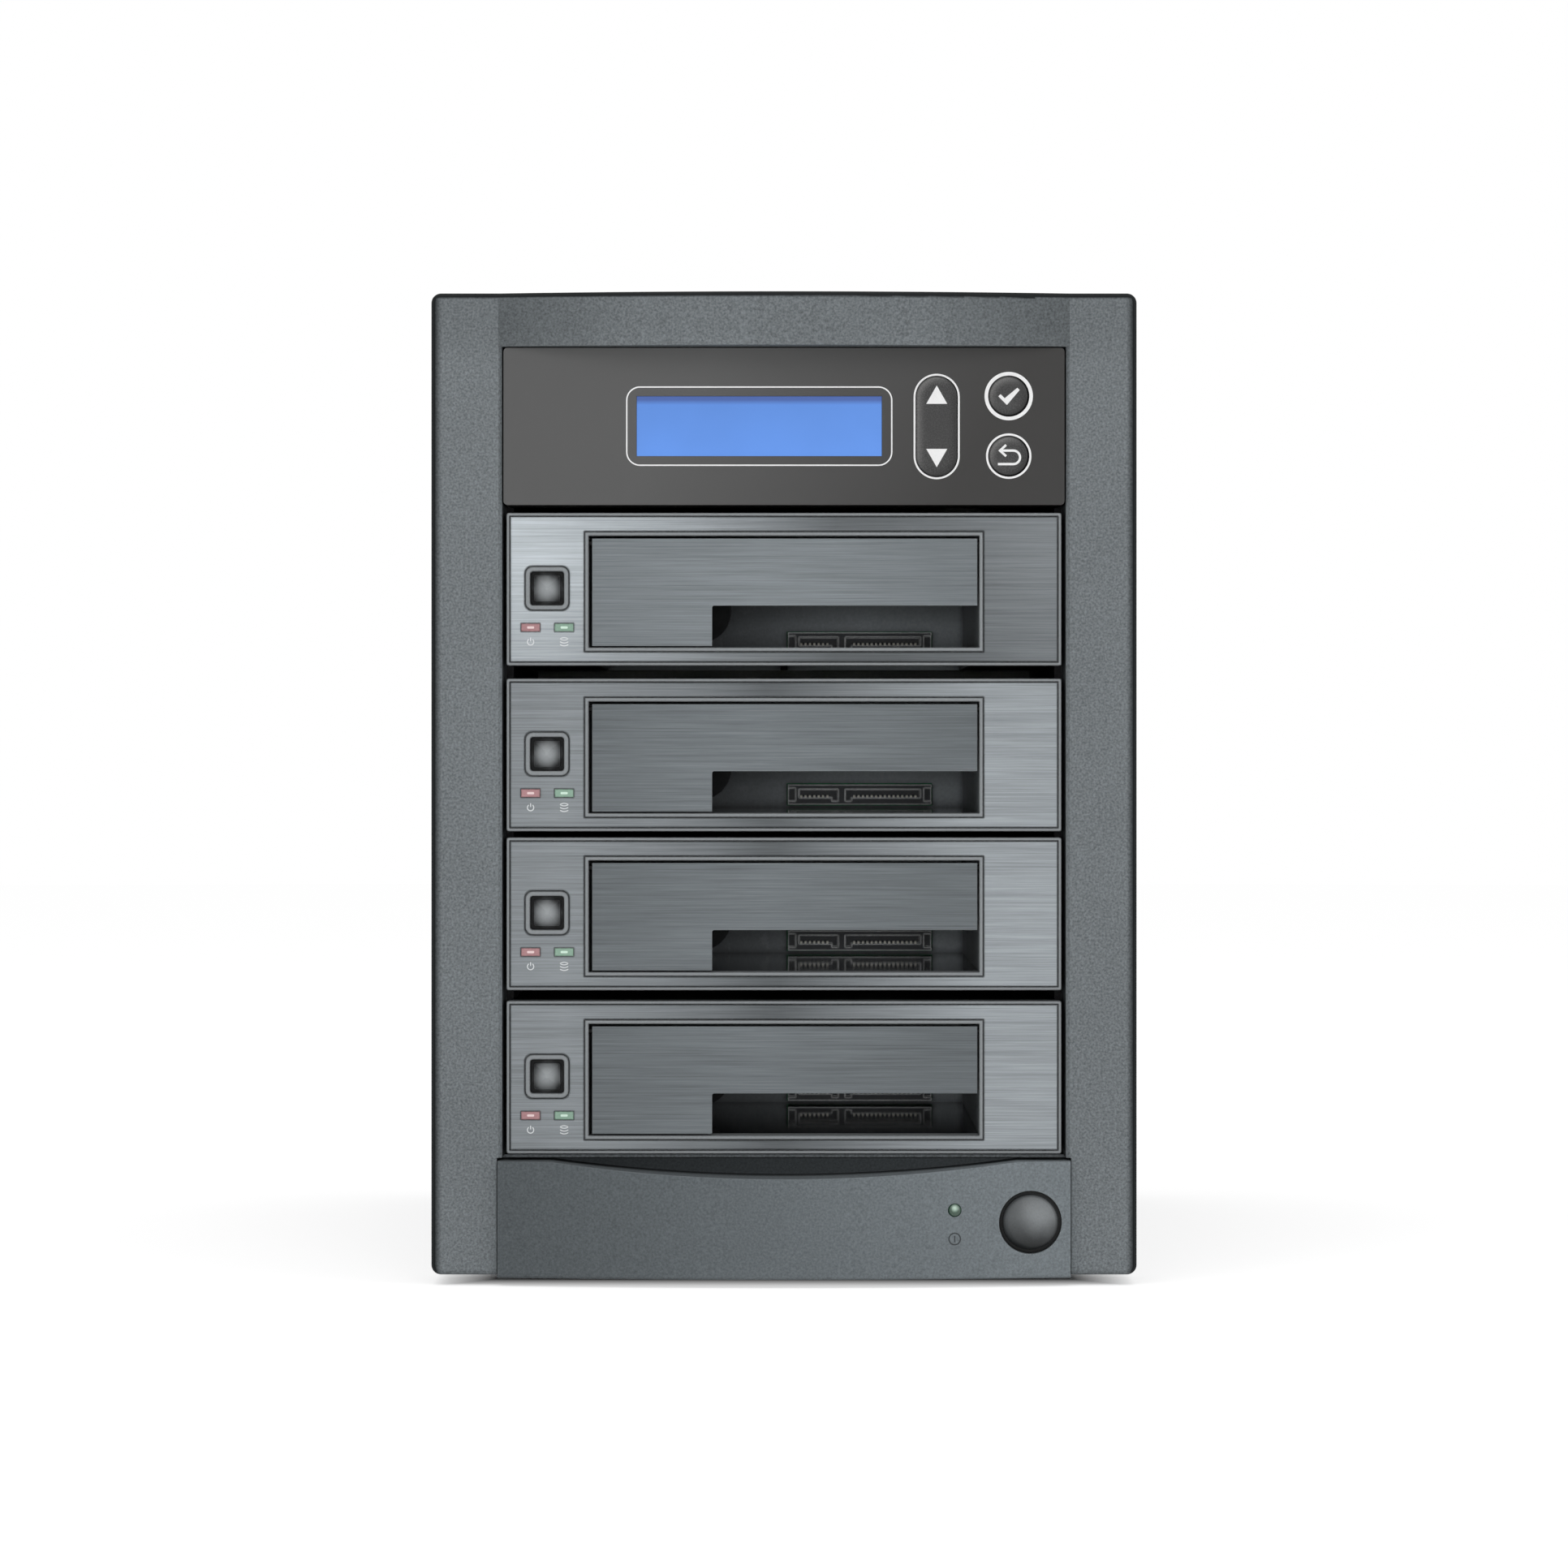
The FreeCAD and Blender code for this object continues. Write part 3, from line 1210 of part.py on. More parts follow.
def build_arrow_key():
    """The long key: it rocks on a pin that lies in two brackets of the front board."""
    body = new_body("up_down_key", size.arrow_across, FRONT, size.arrow_up)
    wide = size.arrow_width / 2
    tall = size.arrow_high / 2
    face = size.control_face
    pad(body, "front", -size.key_proud, face + 1.0, box(-wide, wide, -tall, tall, wide - 0.01))
    rim = size.key_collar
    pad(body, "front", face + 1.0, face + 2.0,
        box(-wide - rim, wide + rim, -tall - rim, tall + rim, wide + rim - 0.01))
    switch = face + size.front_board_gap - size.key_switch
    lever = tall - 5
    pad(body, "front", face + 2.0, switch - 0.9, disc(0, lever, 3), disc(0, -lever, 3))
    reach = wide + rim + size.key_pin_reach
    pad(body, "side", -reach, reach, disc(face + size.key_pin_back, 0, size.key_pin))
    front = -size.key_proud.value

    def face_edge(bounds):
        return near(bounds.YMin, front) and near(bounds.YMax, front)

    dress("Fillet", body, 0.6, face_edge)


# Inside of the case
def build_controller_tray():
    body = new_body("controller_tray")
    half = CAGE - size.sheet - 0.5
    low = size.control_low + 3
    front = FRONT + size.control_deep
    deep = size.controller_deep + 30
    pad(body, "top", low, low + size.sheet, box(-half, half, front, front + deep))
    for left, right in ((-half, -half + size.sheet), (half - size.sheet, half)):
        pad(body, "side", left, right, box(front, front + deep, low, low + 22))
    posts = controller_posts()
    pad(body, "top", low + size.sheet, low + size.sheet + 4, *[disc(x, y, 5) for x, y in posts])


def controller_posts():
    """The standoffs under the controller board."""
    across = size.controller_width / 2 - 5
    front = FRONT + size.control_deep + 15
    return [(side * across, front + row * (size.controller_deep - 10)) for side in (-1, 1) for row in (0, 1)]


def build_controller_board():
    body = new_body("controller_board")
    low = size.control_low + 3 + size.sheet + 4
    top = low + size.board_thick
    front = FRONT + size.control_deep + 10
    back = front + size.controller_deep
    half = size.controller_width / 2
    pad(body, "top", low, top, box(-half, half, front, back))
    sockets = []
    for place in range(4):
        left = -44 + 22 * place
        sockets.append(box(left, left + 15, back - 12, back + 1))
    pad(body, "top", top, top + 6, *sockets)
    pad(body, "top", top, top + 8, box(-20, 15, front + 25, front + 60))


def build_power_supply():
    body = new_body("psu_housing")
    half = size.supply_width / 2
    high = size.supply_low + size.supply_high
    back = BACK - size.sheet
    sheet = size.sheet
    pad(body, "front", SUPPLY_FRONT, back, box(-half, half, size.supply_low, high))
    pocket(body, "front", SUPPLY_FRONT + sheet, back - sheet,
           box(-half + sheet, half - sheet, size.supply_low + sheet, high - sheet))
    fan = size.supply_fan_across
    middle = SUPPLY_MIDDLE
    slots = []
    for row in range(6):
        low = middle - 22 + 8 * row
        slots.append(box(-20, 60, low, low + 4))
    pocket(body, "front", SUPPLY_FRONT, SUPPLY_FRONT + sheet, *slots)
    pocket(body, "front", back - size.sheet, back, disc(fan, middle, size.fan_bore))
    pocket(body, "front", back - size.sheet, back, *fan_holes(fan, middle))
    wide = size.inlet_width / 2 - 2 + 0.2
    tall = size.inlet_high / 2 - 2 + 0.2
    inlet = -size.inlet_across
    pocket(body, "front", back - sheet, back, box(inlet - wide, inlet + wide, middle - tall, middle + tall))


def build_supply_board():
    """The power supply's circuit board with its transformer, capacitors and heat sinks."""
    body = new_body("psu_board", 0, SUPPLY_FRONT, size.supply_low)
    low = size.sheet + 5
    top = low + size.board_thick
    wide = size.supply_width / 2 - 8
    deep = size.supply_deep - size.fan_deep - 8
    pad(body, "top", low, top, box(-wide, wide, 5, deep))
    pad(body, "top", size.sheet, low, disc(-wide + 5, 10, 6), disc(wide - 5, 10, 6),
        disc(-wide + 5, deep - 6, 6), disc(wide - 5, deep - 6, 6))
    middle = deep / 2
    pad(body, "top", top, top + 34, box(-14, 22, middle - 16, middle + 16))
    pad(body, "top", top, top + 42, disc(-48, middle - 20, 24), disc(-48, middle + 10, 24))
    pad(body, "top", top, top + 55, box(-30, -26, 12, deep - 12), box(36, 40, 12, deep - 12))


def build_inlet():
    """The mains inlet and the frame of the switch above it, in one moulding."""
    back = BACK - size.sheet
    body = new_body("power_inlet", -size.inlet_across, back, SUPPLY_MIDDLE)
    wide = size.inlet_width / 2
    tall = size.inlet_high / 2
    pad(body, "front", 0, 2.5, box(-wide, wide, -tall, tall, 2))
    pad(body, "front", -22, 0, box(-wide + 2, wide - 2, -tall + 2, tall - 2))
    pocket(body, "front", -18, 2.5, path(
        (-wide + 4, -tall + 7), (-wide + 8, -tall + 4), (wide - 8, -tall + 4), (wide - 4, -tall + 7),
        (wide - 4, -3), (-wide + 4, -3),
    ))
    middle = -tall / 2 - 0.5
    pad(body, "front", -18, -2, box(-1, 1, middle - 2.5, middle + 4), box(-8, -6, middle - 4, middle + 2.5),
        box(6, 8, middle - 4, middle + 2.5))
    pocket(body, "front", -14, 2.5, box(-wide + 4, wide - 4, 3, tall - 4))


def build_rocker():
    """The mains switch rocker: part of a cylinder with a shallow V cut across its face."""
    back = BACK - size.sheet
    tall = size.inlet_high / 2
    middle = (3 + tall - 4) / 2
    body = new_body("inlet_rocker", -size.inlet_across, back - 2, SUPPLY_MIDDLE + middle)
    body.Placement = FreeCAD.Placement(FreeCAD.Vector(), FreeCAD.Rotation(FreeCAD.Vector(1, 0, 0), 1))
    bind(body, "Placement.Rotation.Angle", size.rocker_tilt)
    radius = (tall - 7) / 2 - 0.3
    sag = radius * (1 - math.sqrt(0.5))
    wide = size.inlet_width / 2 - 4 - 0.3
    dip = radius * 0.42
    lip_back = radius * 0.75
    lip_up = radius * 0.65
    outline = path((0, radius, sag), (-radius, 0, sag), (0, -radius), (lip_back, -lip_up), (dip, 0),
                   (lip_back, lip_up))
    pad(body, "side", -wide, wide, outline)


def build_fan_frames():
    """The two fan frames, alike: one in the power supply, one behind the punched grille."""
    body = new_body("fan_frames")
    for across, up, rear in fan_places():
        front = rear - size.fan_deep
        half = size.fan_width / 2
        pad(body, "front", front, rear, box(across - half, across + half, up - half, up + half, 4),
            disc(across, up, size.fan_bore), *fan_holes(across, up))
        hub = size.fan_hub - 2
        pad(body, "front", rear - 4, rear, disc(across, up, hub))
        pad(body, "front", rear - 4, rear - 1,
            box(across - size.fan_bore / 2 - 1, across - hub / 2 + 1, up - 2, up + 2),
            box(across + hub / 2 - 1, across + size.fan_bore / 2 + 1, up - 2, up + 2))
        pad(body, "front", rear - 4, rear - 1,
            box(across - 2, across + 2, up - size.fan_bore / 2 - 1, up - hub / 2 + 1),
            box(across - 2, across + 2, up + hub / 2 - 1, up + size.fan_bore / 2 + 1))
        pocket(body, "front", rear - 4, rear - 1, disc(across, up, size.fan_shaft + 2 * size.running))


def fan_places():
    """Centre and rear face of the power supply fan and of the case fan."""
    back = BACK - size.sheet
    return (
        (size.supply_fan_across, SUPPLY_MIDDLE, back - size.sheet),
        (size.case_fan_across, size.case_fan_up, back),
    )


def build_rotor(label, place):
    across, up, rear = place
    body = new_body(label, across, rear, up)
    hub = size.fan_hub / 2
    front = -size.fan_deep + 2
    back = as_size(-4.5)
    cup = path((0, front), (hub - 1.5, front), (hub, front + 1.5), (hub, back), (0, back))
    turn(body, cup, "Y_Axis", view="top")
    shaft = size.fan_shaft / 2
    pin = path((0, back - 0.5), (shaft, back - 0.5), (shaft, -1.5), (0, -1.5))
    turn(body, pin, "Y_Axis", view="top")
    tip_rise = as_size(13)
    blade = body.newObject("PartDesign::AdditiveLoft", "Blade")
    root = sketch_on(body, "side", hub - 1)
    blade_section(back, 16, 7)(root)
    sweep = size.fan_sweep / 2
    tip = sketch_on(body, "side", (sweep * sweep - (tip_rise + 0.4) * (tip_rise + 0.4)).root())
    blade_section(back, 13, tip_rise)(tip)
    blade.Profile = root
    blade.Sections = [tip]
    blade.Ruled = True
    pattern = body.newObject("PartDesign::PolarPattern", "Blades")
    pattern.Originals = [blade]
    pattern.Axis = (origin_feature(body, "Y_Axis"), [""])
    pattern.Angle = 360
    bind(pattern, "Occurrences", size.fan_blades)
    body.Tip = pattern


def blade_section(back, deep, rise):
    """A thin slanted strip: the blade cut across at one radius."""
    thick = 1.4
    return path((back - deep - 1, -rise), (back - deep - 1 + thick, -rise - 0.4),
                (back - 1, rise), (back - 1 - thick, rise + 0.4))


def build_guard():
    """The wire guard over the power supply fan: four rings on two crossed stays."""
    body = new_body("psu_fan_guard", size.supply_fan_across, BACK - size.sheet, SUPPLY_MIDDLE)
    wire = as_size(1.8)
    rings = []
    for radius in (10, 19, 28, 37):
        rings.append(disc(0, 0, as_size(2 * radius) + wire))
        rings.append(disc(0, 0, as_size(2 * radius) - wire))
    pad(body, "front", 1.2, 2.8, *rings)
    reach = size.fan_screws / 2
    arm = wire / 2
    near_hub = as_size(6.5)
    for sx in (-1, 1):
        for sz in (-1, 1):
            lean = sx * sz * arm
            spoke = path(
                (sx * near_hub - arm, sz * near_hub + lean), (sx * near_hub + arm, sz * near_hub - lean),
                (sx * reach + arm, sz * reach - lean), (sx * reach - arm, sz * reach + lean),
            )
            pad(body, "front", 0, 1.6, spoke)
    pad(body, "front", 0, 1.6, *fan_holes(as_size(0), as_size(0), size.fan_screw + 3.5))
    pocket(body, "front", 0, 1.6, *fan_holes(as_size(0), as_size(0)))


def build_all():
    build_base_tray()
    build_feet()
    build_cover()
    build_thumbscrews()
    build_rear_panel()
    build_front_frame()
    build_bay_cage()
    build_front_bezel()
    build_lower_panel()
    build_power_button()
    build_power_switch()
    build_power_light()
    for name in RACKS:
        build_rack_bezel(name)
        build_door(name)
        build_eject_button(name)
        build_housing(name)
        build_ejector(name)
        build_guide_arm(name)
    build_faceplates()
    build_lenses("red_lenses", size.red_across)
    build_lenses("green_lenses", size.green_across)
    build_connectors()
    build_backplanes()
    build_rack_lids()
    build_rack_screws()
    build_control_panel()
    build_display_window()
    build_front_board()
    build_round_key("confirm_key", size.confirm_up)
    build_round_key("return_key", size.return_up)
    build_arrow_key()
    build_controller_tray()
    build_controller_board()
    build_power_supply()
    build_supply_board()
    build_inlet()
    build_rocker()
    build_fan_frames()
    supply_fan, case_fan = fan_places()
    build_rotor("psu_fan_rotor", supply_fan)
    build_rotor("case_fan_rotor", case_fan)
    build_guard()


def check_and_write():
    """Stop at anything that failed, then write each piece to its own file."""
    failed = []
    for item in doc.Objects:
        if "Invalid" in item.State or "Error" in item.State:
            owner = item.getParentGeoFeatureGroup()
            failed.append("%s in %s" % (item.Label, owner.Label if owner else "the document"))
    if failed:
        raise RuntimeError("These did not build: " + ", ".join(failed))
    os.makedirs("parts", exist_ok=True)
    for piece in PIECES:
        shape = piece.Shape
        if shape.isNull() or not shape.isValid():
            raise RuntimeError("%s has no valid shape" % piece.Label)
        shape.exportStep("parts/%s.step" % piece.Label)
        print("%-28s solids %3d  volume %11.1f" % (piece.Label, len(shape.Solids), shape.Volume))


build_all()
doc.recompute()
check_and_write()
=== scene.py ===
import math

import bmesh
import bpy
from bpy.props import FloatProperty, FloatVectorProperty, IntProperty, PointerProperty
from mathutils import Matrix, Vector
from mathutils.bvhtree import BVHTree


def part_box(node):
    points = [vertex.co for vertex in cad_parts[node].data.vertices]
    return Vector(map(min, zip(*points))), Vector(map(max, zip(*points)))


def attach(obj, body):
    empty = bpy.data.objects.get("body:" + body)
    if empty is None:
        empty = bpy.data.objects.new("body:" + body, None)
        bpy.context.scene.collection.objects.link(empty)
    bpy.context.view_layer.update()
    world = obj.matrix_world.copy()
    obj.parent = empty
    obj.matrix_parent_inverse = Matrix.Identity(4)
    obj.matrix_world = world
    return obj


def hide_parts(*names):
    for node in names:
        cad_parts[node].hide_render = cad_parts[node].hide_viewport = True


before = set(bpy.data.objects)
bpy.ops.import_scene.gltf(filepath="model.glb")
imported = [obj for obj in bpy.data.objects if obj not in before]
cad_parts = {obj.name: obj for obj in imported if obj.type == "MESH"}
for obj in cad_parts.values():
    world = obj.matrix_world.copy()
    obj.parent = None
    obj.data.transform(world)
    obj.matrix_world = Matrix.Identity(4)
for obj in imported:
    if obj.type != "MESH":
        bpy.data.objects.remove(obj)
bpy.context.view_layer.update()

bl_info = {
    "name": "Drive Duplicator Tower",
    "version": (1, 0, 0),
    "blender": (4, 5, 0),
    "location": "3D View > Sidebar > Duplicator",
    "description": "Finishes, printed marks and small fasteners for a drive duplicator tower",
    "category": "Object",
}

MM = 0.001
# A length too small to see
HAIR = 0.001 * MM
RACKS = ("one", "two", "three", "four")
PANEL_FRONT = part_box("control_panel")[0].y
REAR_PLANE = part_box("rear_panel")[1].y

# Width and height of the control panel's openings for the keys
KEY_OPENINGS = {
    "confirm_key": (11.0 * MM, 11.0 * MM),
    "return_key": (11.0 * MM, 11.0 * MM),
    "up_down_key": (11.3 * MM, 27.1 * MM),
}


def middle_of(node):
    low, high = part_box(node)
    return (low + high) / 2


def front_middle(node):
    """The middle of a CAD piece in the front view: across and up."""
    middle = middle_of(node)
    return middle.x, middle.z


def colour(name, description, default):
    return FloatVectorProperty(
        name=name, description=description, default=default, subtype="COLOR", size=3, min=0.0, max=1.0
    )


def length(name, description, default, low=0.0):
    return FloatProperty(name=name, description=description, default=default, min=low, unit="LENGTH")


def share(name, description, default):
    return FloatProperty(
        name=name, description=description, default=default, min=0.0, max=1.0, subtype="FACTOR"
    )


def power(name, description, default):
    return FloatProperty(name=name, description=description, default=default, min=0.0, unit="POWER")


# Settings
class CaseFinish(bpy.types.PropertyGroup):
    """The moulded front, the painted cover and the steel behind it."""

    bezel: colour("Bezel", "Colour of the columns and the top bar", (0.176, 0.194, 0.204))
    lower_panel: colour("Lower panel", "Colour of the panel with the power button", (0.108, 0.122, 0.130))
    cover: colour("Cover", "Colour of the powder-coated cover", (0.050, 0.054, 0.057))
    grain: length("Grain", "Distance between the grains of the moulded texture", 0.00062, 0.0001)
    grain_depth: length("Grain depth", "Height of the moulded texture", 0.00014)
    # The paler edges are partly wear and partly painted highlight along the bevels
    edge_wear_and_light: share("Edge wear and light", "How much paler the edges of the mouldings are", 0.40)
    dust: share("Dust", "Dust on the faces that point up", 0.05)


class RackFinish(bpy.types.PropertyGroup):
    """The brushed plates and doors, the rims round them and what lies behind."""

    plate: colour("Plate", "Colour of the brushed face plates", (0.280, 0.304, 0.320))
    door: colour("Door", "Colour of the brushed flap doors", (0.139, 0.154, 0.163))
    moulding: colour("Moulding", "Colour of the racks' moulded rims", (0.255, 0.272, 0.282))
    # The dark rim edges are painted shade, a dark line along each side of the rims
    rim_edge_shade: colour("Rim edges", "Colour along both edges of the rims", (0.016, 0.017, 0.018))
    chamber: colour("Chamber walls", "Colour of the chamber's walls", (0.150, 0.164, 0.174))
    chamber_floor: colour("Chamber floor", "Colour of the chamber's glossy floor", (0.022, 0.024, 0.026))
    line: length("Line", "Distance between the brushed lines", 0.00024, 0.00005)
    stroke: length("Stroke", "Length of the brushed lines", 0.022, 0.001)
    contrast: share("Contrast", "How strongly the brushed lines show", 0.27)
    red: colour("Red lens", "Colour of the power lenses", (0.40, 0.21, 0.22))
    green: colour("Green lens", "Colour of the access lenses", (0.25, 0.39, 0.30))


class ControlFinish(bpy.types.PropertyGroup):
    """The control panel, its keys and its display."""

    # The panel's left and right colours make a painted reflection, paler at the left end
    left: colour("Left side", "Colour at the panel's left end", (0.094, 0.094, 0.094))
    right: colour("Right side", "Colour at the panel's right end", (0.038, 0.037, 0.036))
    key: colour("Keys", "Colour of the keys", (0.030, 0.030, 0.030))
    display: colour("Display", "Colour of the backlit display", (0.108, 0.285, 0.790))
    display_top: colour("Display's top", "Colour of the shaded strip along its top", (0.060, 0.130, 0.420))
    printed: colour("Print", "Colour of the printed lines and marks", (0.86, 0.86, 0.86))
    outline: length("Outline", "Width of the printed line round the display", 0.00036, 0.0001)


class FastenerSettings(bpy.types.PropertyGroup):
    """Thumbscrews and the small screws at the rear."""

    knurls: IntProperty(
        name="Knurls", description="Ridges round a thumbscrew's head", default=32, min=8, max=96
    )
    screw_head: length("Screw head", "Width of a small screw's head", 0.0062, 0.001)
    screw_crown: length("Screw crown", "Height of a small screw's head", 0.0019, 0.0005)


class StageSettings(bpy.types.PropertyGroup):
    """The floor, the lamps and the camera."""

    floor: colour("Floor", "Colour of the floor", (0.93, 0.93, 0.93))
    floor_size: length("Floor size", "Width of the round floor", 9.0, 1.0)
    distance: length("Distance", "Camera to the front of the control panel", 1.6, 0.2)
    height: length("Height", "Camera above the floor", 0.144)
    view: length("View", "Width of the picture at the front of the control panel", 0.418, 0.05)
    middle: length("Middle", "Height that lies in the middle of the picture", 0.1337)
    key_light: power("Key light", "Power of the large lamp above the front", 6.0)
    side_light: power("Side light", "Power of the lamp at the right", 2.5)
    front_light: power("Front light", "Power of the low lamp behind the camera", 14.5)
    sky: share("Sky", "Light from all round", 0.42)
    floor_glow: share("Floor glow", "How pale the camera sees the floor beside its own colour", 0.60)


# Shader graphs
class Graph:
    """A node tree in which each new node names what its inputs take."""

    def __init__(self, tree):
        self.tree = tree

    def feed(self, socket, value):
        if isinstance(value, bpy.types.NodeSocket):
            self.tree.links.new(value, socket)
        elif isinstance(value, (tuple, list)) and len(value) == 3 and socket.type == "RGBA":
            socket.default_value = (*value, 1.0)
        else:
            socket.default_value = value

    def node(self, kind, settings=None, **inputs):
        node = self.tree.nodes.new("ShaderNode" + kind)
        for name, value in (settings or {}).items():
            setattr(node, name, value)
        for name, value in inputs.items():
            self.feed(node.inputs[name], value)
        return node

    def maths(self, operation, *values, clamp=False):
        node = self.node("Math", {"operation": operation, "use_clamp": clamp})
        for socket, value in zip(node.inputs, values):
            self.feed(socket, value)
        return node.outputs[0]

    def times(self, first, *others):
        """The product of two or more values."""
        for value in others:
            first = self.maths("MULTIPLY", first, value)
        return first

    def less(self, first, second, clamp=False):
        return self.maths("SUBTRACT", first, second, clamp=clamp)

    def reach(self, aside, above):
        """How far two steps at right angles reach together."""
        squares = self.maths("ADD", self.times(aside, aside), self.times(above, above))
        return self.maths("SQRT", squares)

    def place(self):
        return self.node("TexCoord").outputs["Object"]

    def parts(self, vector):
        """The three parts of a vector: across, back and up."""
        return self.node("SeparateXYZ", Vector=vector).outputs

    def vector(self, across, back, up):
        return self.node("CombineXYZ", X=across, Y=back, Z=up).outputs[0]

    def facing(self):
        """The way a surface faces: across, back and up."""
        return self.parts(self.node("NewGeometry").outputs["Normal"])

    def noise(self, vector, scale, detail=2.0, roughness=0.5):
        node = self.node("TexNoise", Vector=vector, Scale=scale, Detail=detail, Roughness=roughness)
        return node.outputs["Fac"]

    def spread(self, value, low=0.3, high=0.7, out_low=0.0, out_high=1.0):
        """A value between two levels, stretched to two others; most noise lies between 0.3 and 0.7."""
        node = self.node("MapRange", {"clamp": True})
        for socket, number in zip(node.inputs, (value, low, high, out_low, out_high)):
            self.feed(socket, number)
        return node.outputs["Result"]

    def swing(self, value, amount, low=0.3, high=0.7):
        """A factor that follows a value between two levels, by an amount up or down from 1."""
        return self.maths("MULTIPLY_ADD", self.spread(value, low, high, -1.0, 1.0), amount, 1.0)

    def mix(self, factor, first, second):
        """A colour between two others."""
        node = self.node("Mix", {"data_type": "RGBA"})
        self.feed(node.inputs[0], factor)
        self.feed(node.inputs[6], first)
        self.feed(node.inputs[7], second)
        return node.outputs[2]

    def between(self, factor, first, second):
        """A value between two others."""
        return self.maths("MULTIPLY_ADD", factor, self.less(second, first), first)

    def scaled(self, tint, factor):
        """A colour made paler or darker by a factor."""
        node = self.node("VectorMath", {"operation": "SCALE"})
        self.feed(node.inputs[0], tint)
        self.feed(node.inputs["Scale"], factor)
        return node.outputs[0]

    def off_middle(self, middle, straight=0.0):
        """Steps aside and above, and the distance, from a point or an upright line in the front view."""
        across, _, up = self.parts(self.place())
        aside = self.less(across, middle[0])
        rise = self.less(up, middle[1])
        beyond = self.maths("MAXIMUM", self.less(self.maths("ABSOLUTE", rise), straight), 0.0)
        above = self.times(self.maths("SIGN", rise), beyond)
        return aside, above, self.reach(aside, above)

    def effect(self, name, **inputs):
        """One of the shared effects, placed in this material with its own values."""
        node = self.tree.nodes.new("ShaderNodeGroup")
        node.node_tree = bpy.data.node_groups[name]
        for label, value in inputs.items():
            self.feed(node.inputs[label], value)
        return node.outputs


def moulded_grain(graph, entry):
    """The fine pebbled texture of moulded plastic or powder coat."""
    place = graph.place()
    fine = graph.noise(graph.scaled(place, graph.maths("DIVIDE", 1.0, entry["Size"])), 1.0, 3.0, 0.62)
    cloud = graph.noise(place, 17.0, 3.0, 0.55)
    shade = graph.times(graph.swing(fine, entry["Contrast"]), graph.swing(cloud, entry["Cloudiness"]))
    return {"Color": graph.scaled(entry["Color"], shade), "Height": fine, "Gloss": graph.spread(fine)}


def brushed_lines(graph, entry):
    """Fine level lines of brushed metal, with long soft streaks."""
    across, _, up = graph.parts(graph.place())
    along = graph.maths("DIVIDE", across, entry["Stroke"])
    level = graph.maths("DIVIDE", up, entry["Line"])
    fine = graph.noise(graph.vector(along, 0.0, level), 0.55, 5.0, 0.70)
    coarse = graph.noise(graph.vector(along, 5.0, graph.times(level, 0.23)), 0.5, 3.0, 0.6)
    broad = graph.noise(graph.vector(graph.times(across, 9.0), 0.0, graph.times(up, 26.0)), 1.0)
    lines = graph.maths("ADD", graph.times(fine, 0.82), graph.times(coarse, 0.18))
    shade = graph.times(graph.swing(lines, entry["Contrast"], 0.32, 0.68), graph.swing(broad, entry["Drift"]))
    return {"Color": graph.scaled(entry["Color"], shade), "Height": lines, "Gloss": graph.spread(lines)}


def edge_wear_and_light(graph, entry):
    """A mask that is strongest on outside edges, broken up by noise, for wear and for painted highlight or
    shade along edges, and a normal that rounds them.
    """
    rounded = graph.node("Bevel", {"samples": 4}, Radius=entry["Width"]).outputs[0]
    likeness = graph.node("VectorMath", {"operation": "DOT_PRODUCT"})
    graph.feed(likeness.inputs[0], rounded)
    graph.feed(likeness.inputs[1], graph.node("NewGeometry").outputs["Normal"])
    turn = graph.spread(likeness.outputs["Value"], 0.997, 0.90)
    patches = graph.spread(graph.noise(graph.place(), 900.0, 3.0, 0.6), 0.35, 0.6, 0.65, 0.0)
    whole = graph.less(1.0, graph.times(patches, entry["Breaks"]))
    return {"Mask": graph.times(turn, whole, entry["Amount"]), "Normal": rounded}


def painted_highlight_spot(graph, entry):
    """A soft round mask about one place on the front, for a painted highlight."""
    across, _, up = graph.parts(graph.place())
    away = graph.reach(graph.less(across, entry["Across"]), graph.less(up, entry["Up"]))
    smear = graph.spread(graph.noise(graph.place(), 260.0), out_low=0.9, out_high=1.1)
    near = graph.less(1.0, graph.maths("DIVIDE", away, graph.times(smear, entry["Reach"])), clamp=True)
    return {"Mask": graph.times(near, graph.less(2.0, near))}


def shaded_crevice(graph, entry):
    """A mask of the narrow joints and inside corners, for painted shade there."""
    node = graph.node("AmbientOcclusion", {"samples": 6}, Distance=entry["Reach"])
    return {"Mask": graph.times(graph.spread(node.outputs["AO"], entry["Open"], 0.12), entry["Amount"])}


def settled_dust(graph, entry):
    """A soft mask of dust on the faces that point up."""
    lying = graph.spread(graph.facing()[2], 0.35, 1.0)
    patches = graph.spread(graph.noise(graph.place(), 60.0, 5.0, 0.65), 0.35, 0.75, 0.3, 1.0)
    return {"Mask": graph.times(lying, patches, entry["Amount"])}


def zinc_bloom(graph, entry):
    """The mottled grey of plated sheet, rolled one way."""
    place = graph.place()
    cells = graph.node("TexVoronoi", {"feature": "F1"}, Vector=place, Scale=170.0).outputs["Color"]
    facet = graph.parts(cells)[0]
    across, back, up = graph.parts(place)
    stretched = graph.vector(graph.times(across, 900.0), graph.times(back, 25.0), graph.times(up, 900.0))
    rolled = graph.noise(stretched, 1.0)
    lines = graph.spread(rolled, out_low=0.94, out_high=1.06)
    shade = graph.times(graph.swing(facet, entry["Contrast"], 0.0, 1.0), lines)
    gloss = graph.spread(graph.maths("ADD", facet, rolled), 0.4, 1.6)
    return {"Color": graph.scaled(entry["Color"], shade), "Gloss": gloss}


GREY = (0.5, 0.5, 0.5, 1.0)
SOCKET_KINDS = {"Color": "NodeSocketColor", "Normal": "NodeSocketVector"}

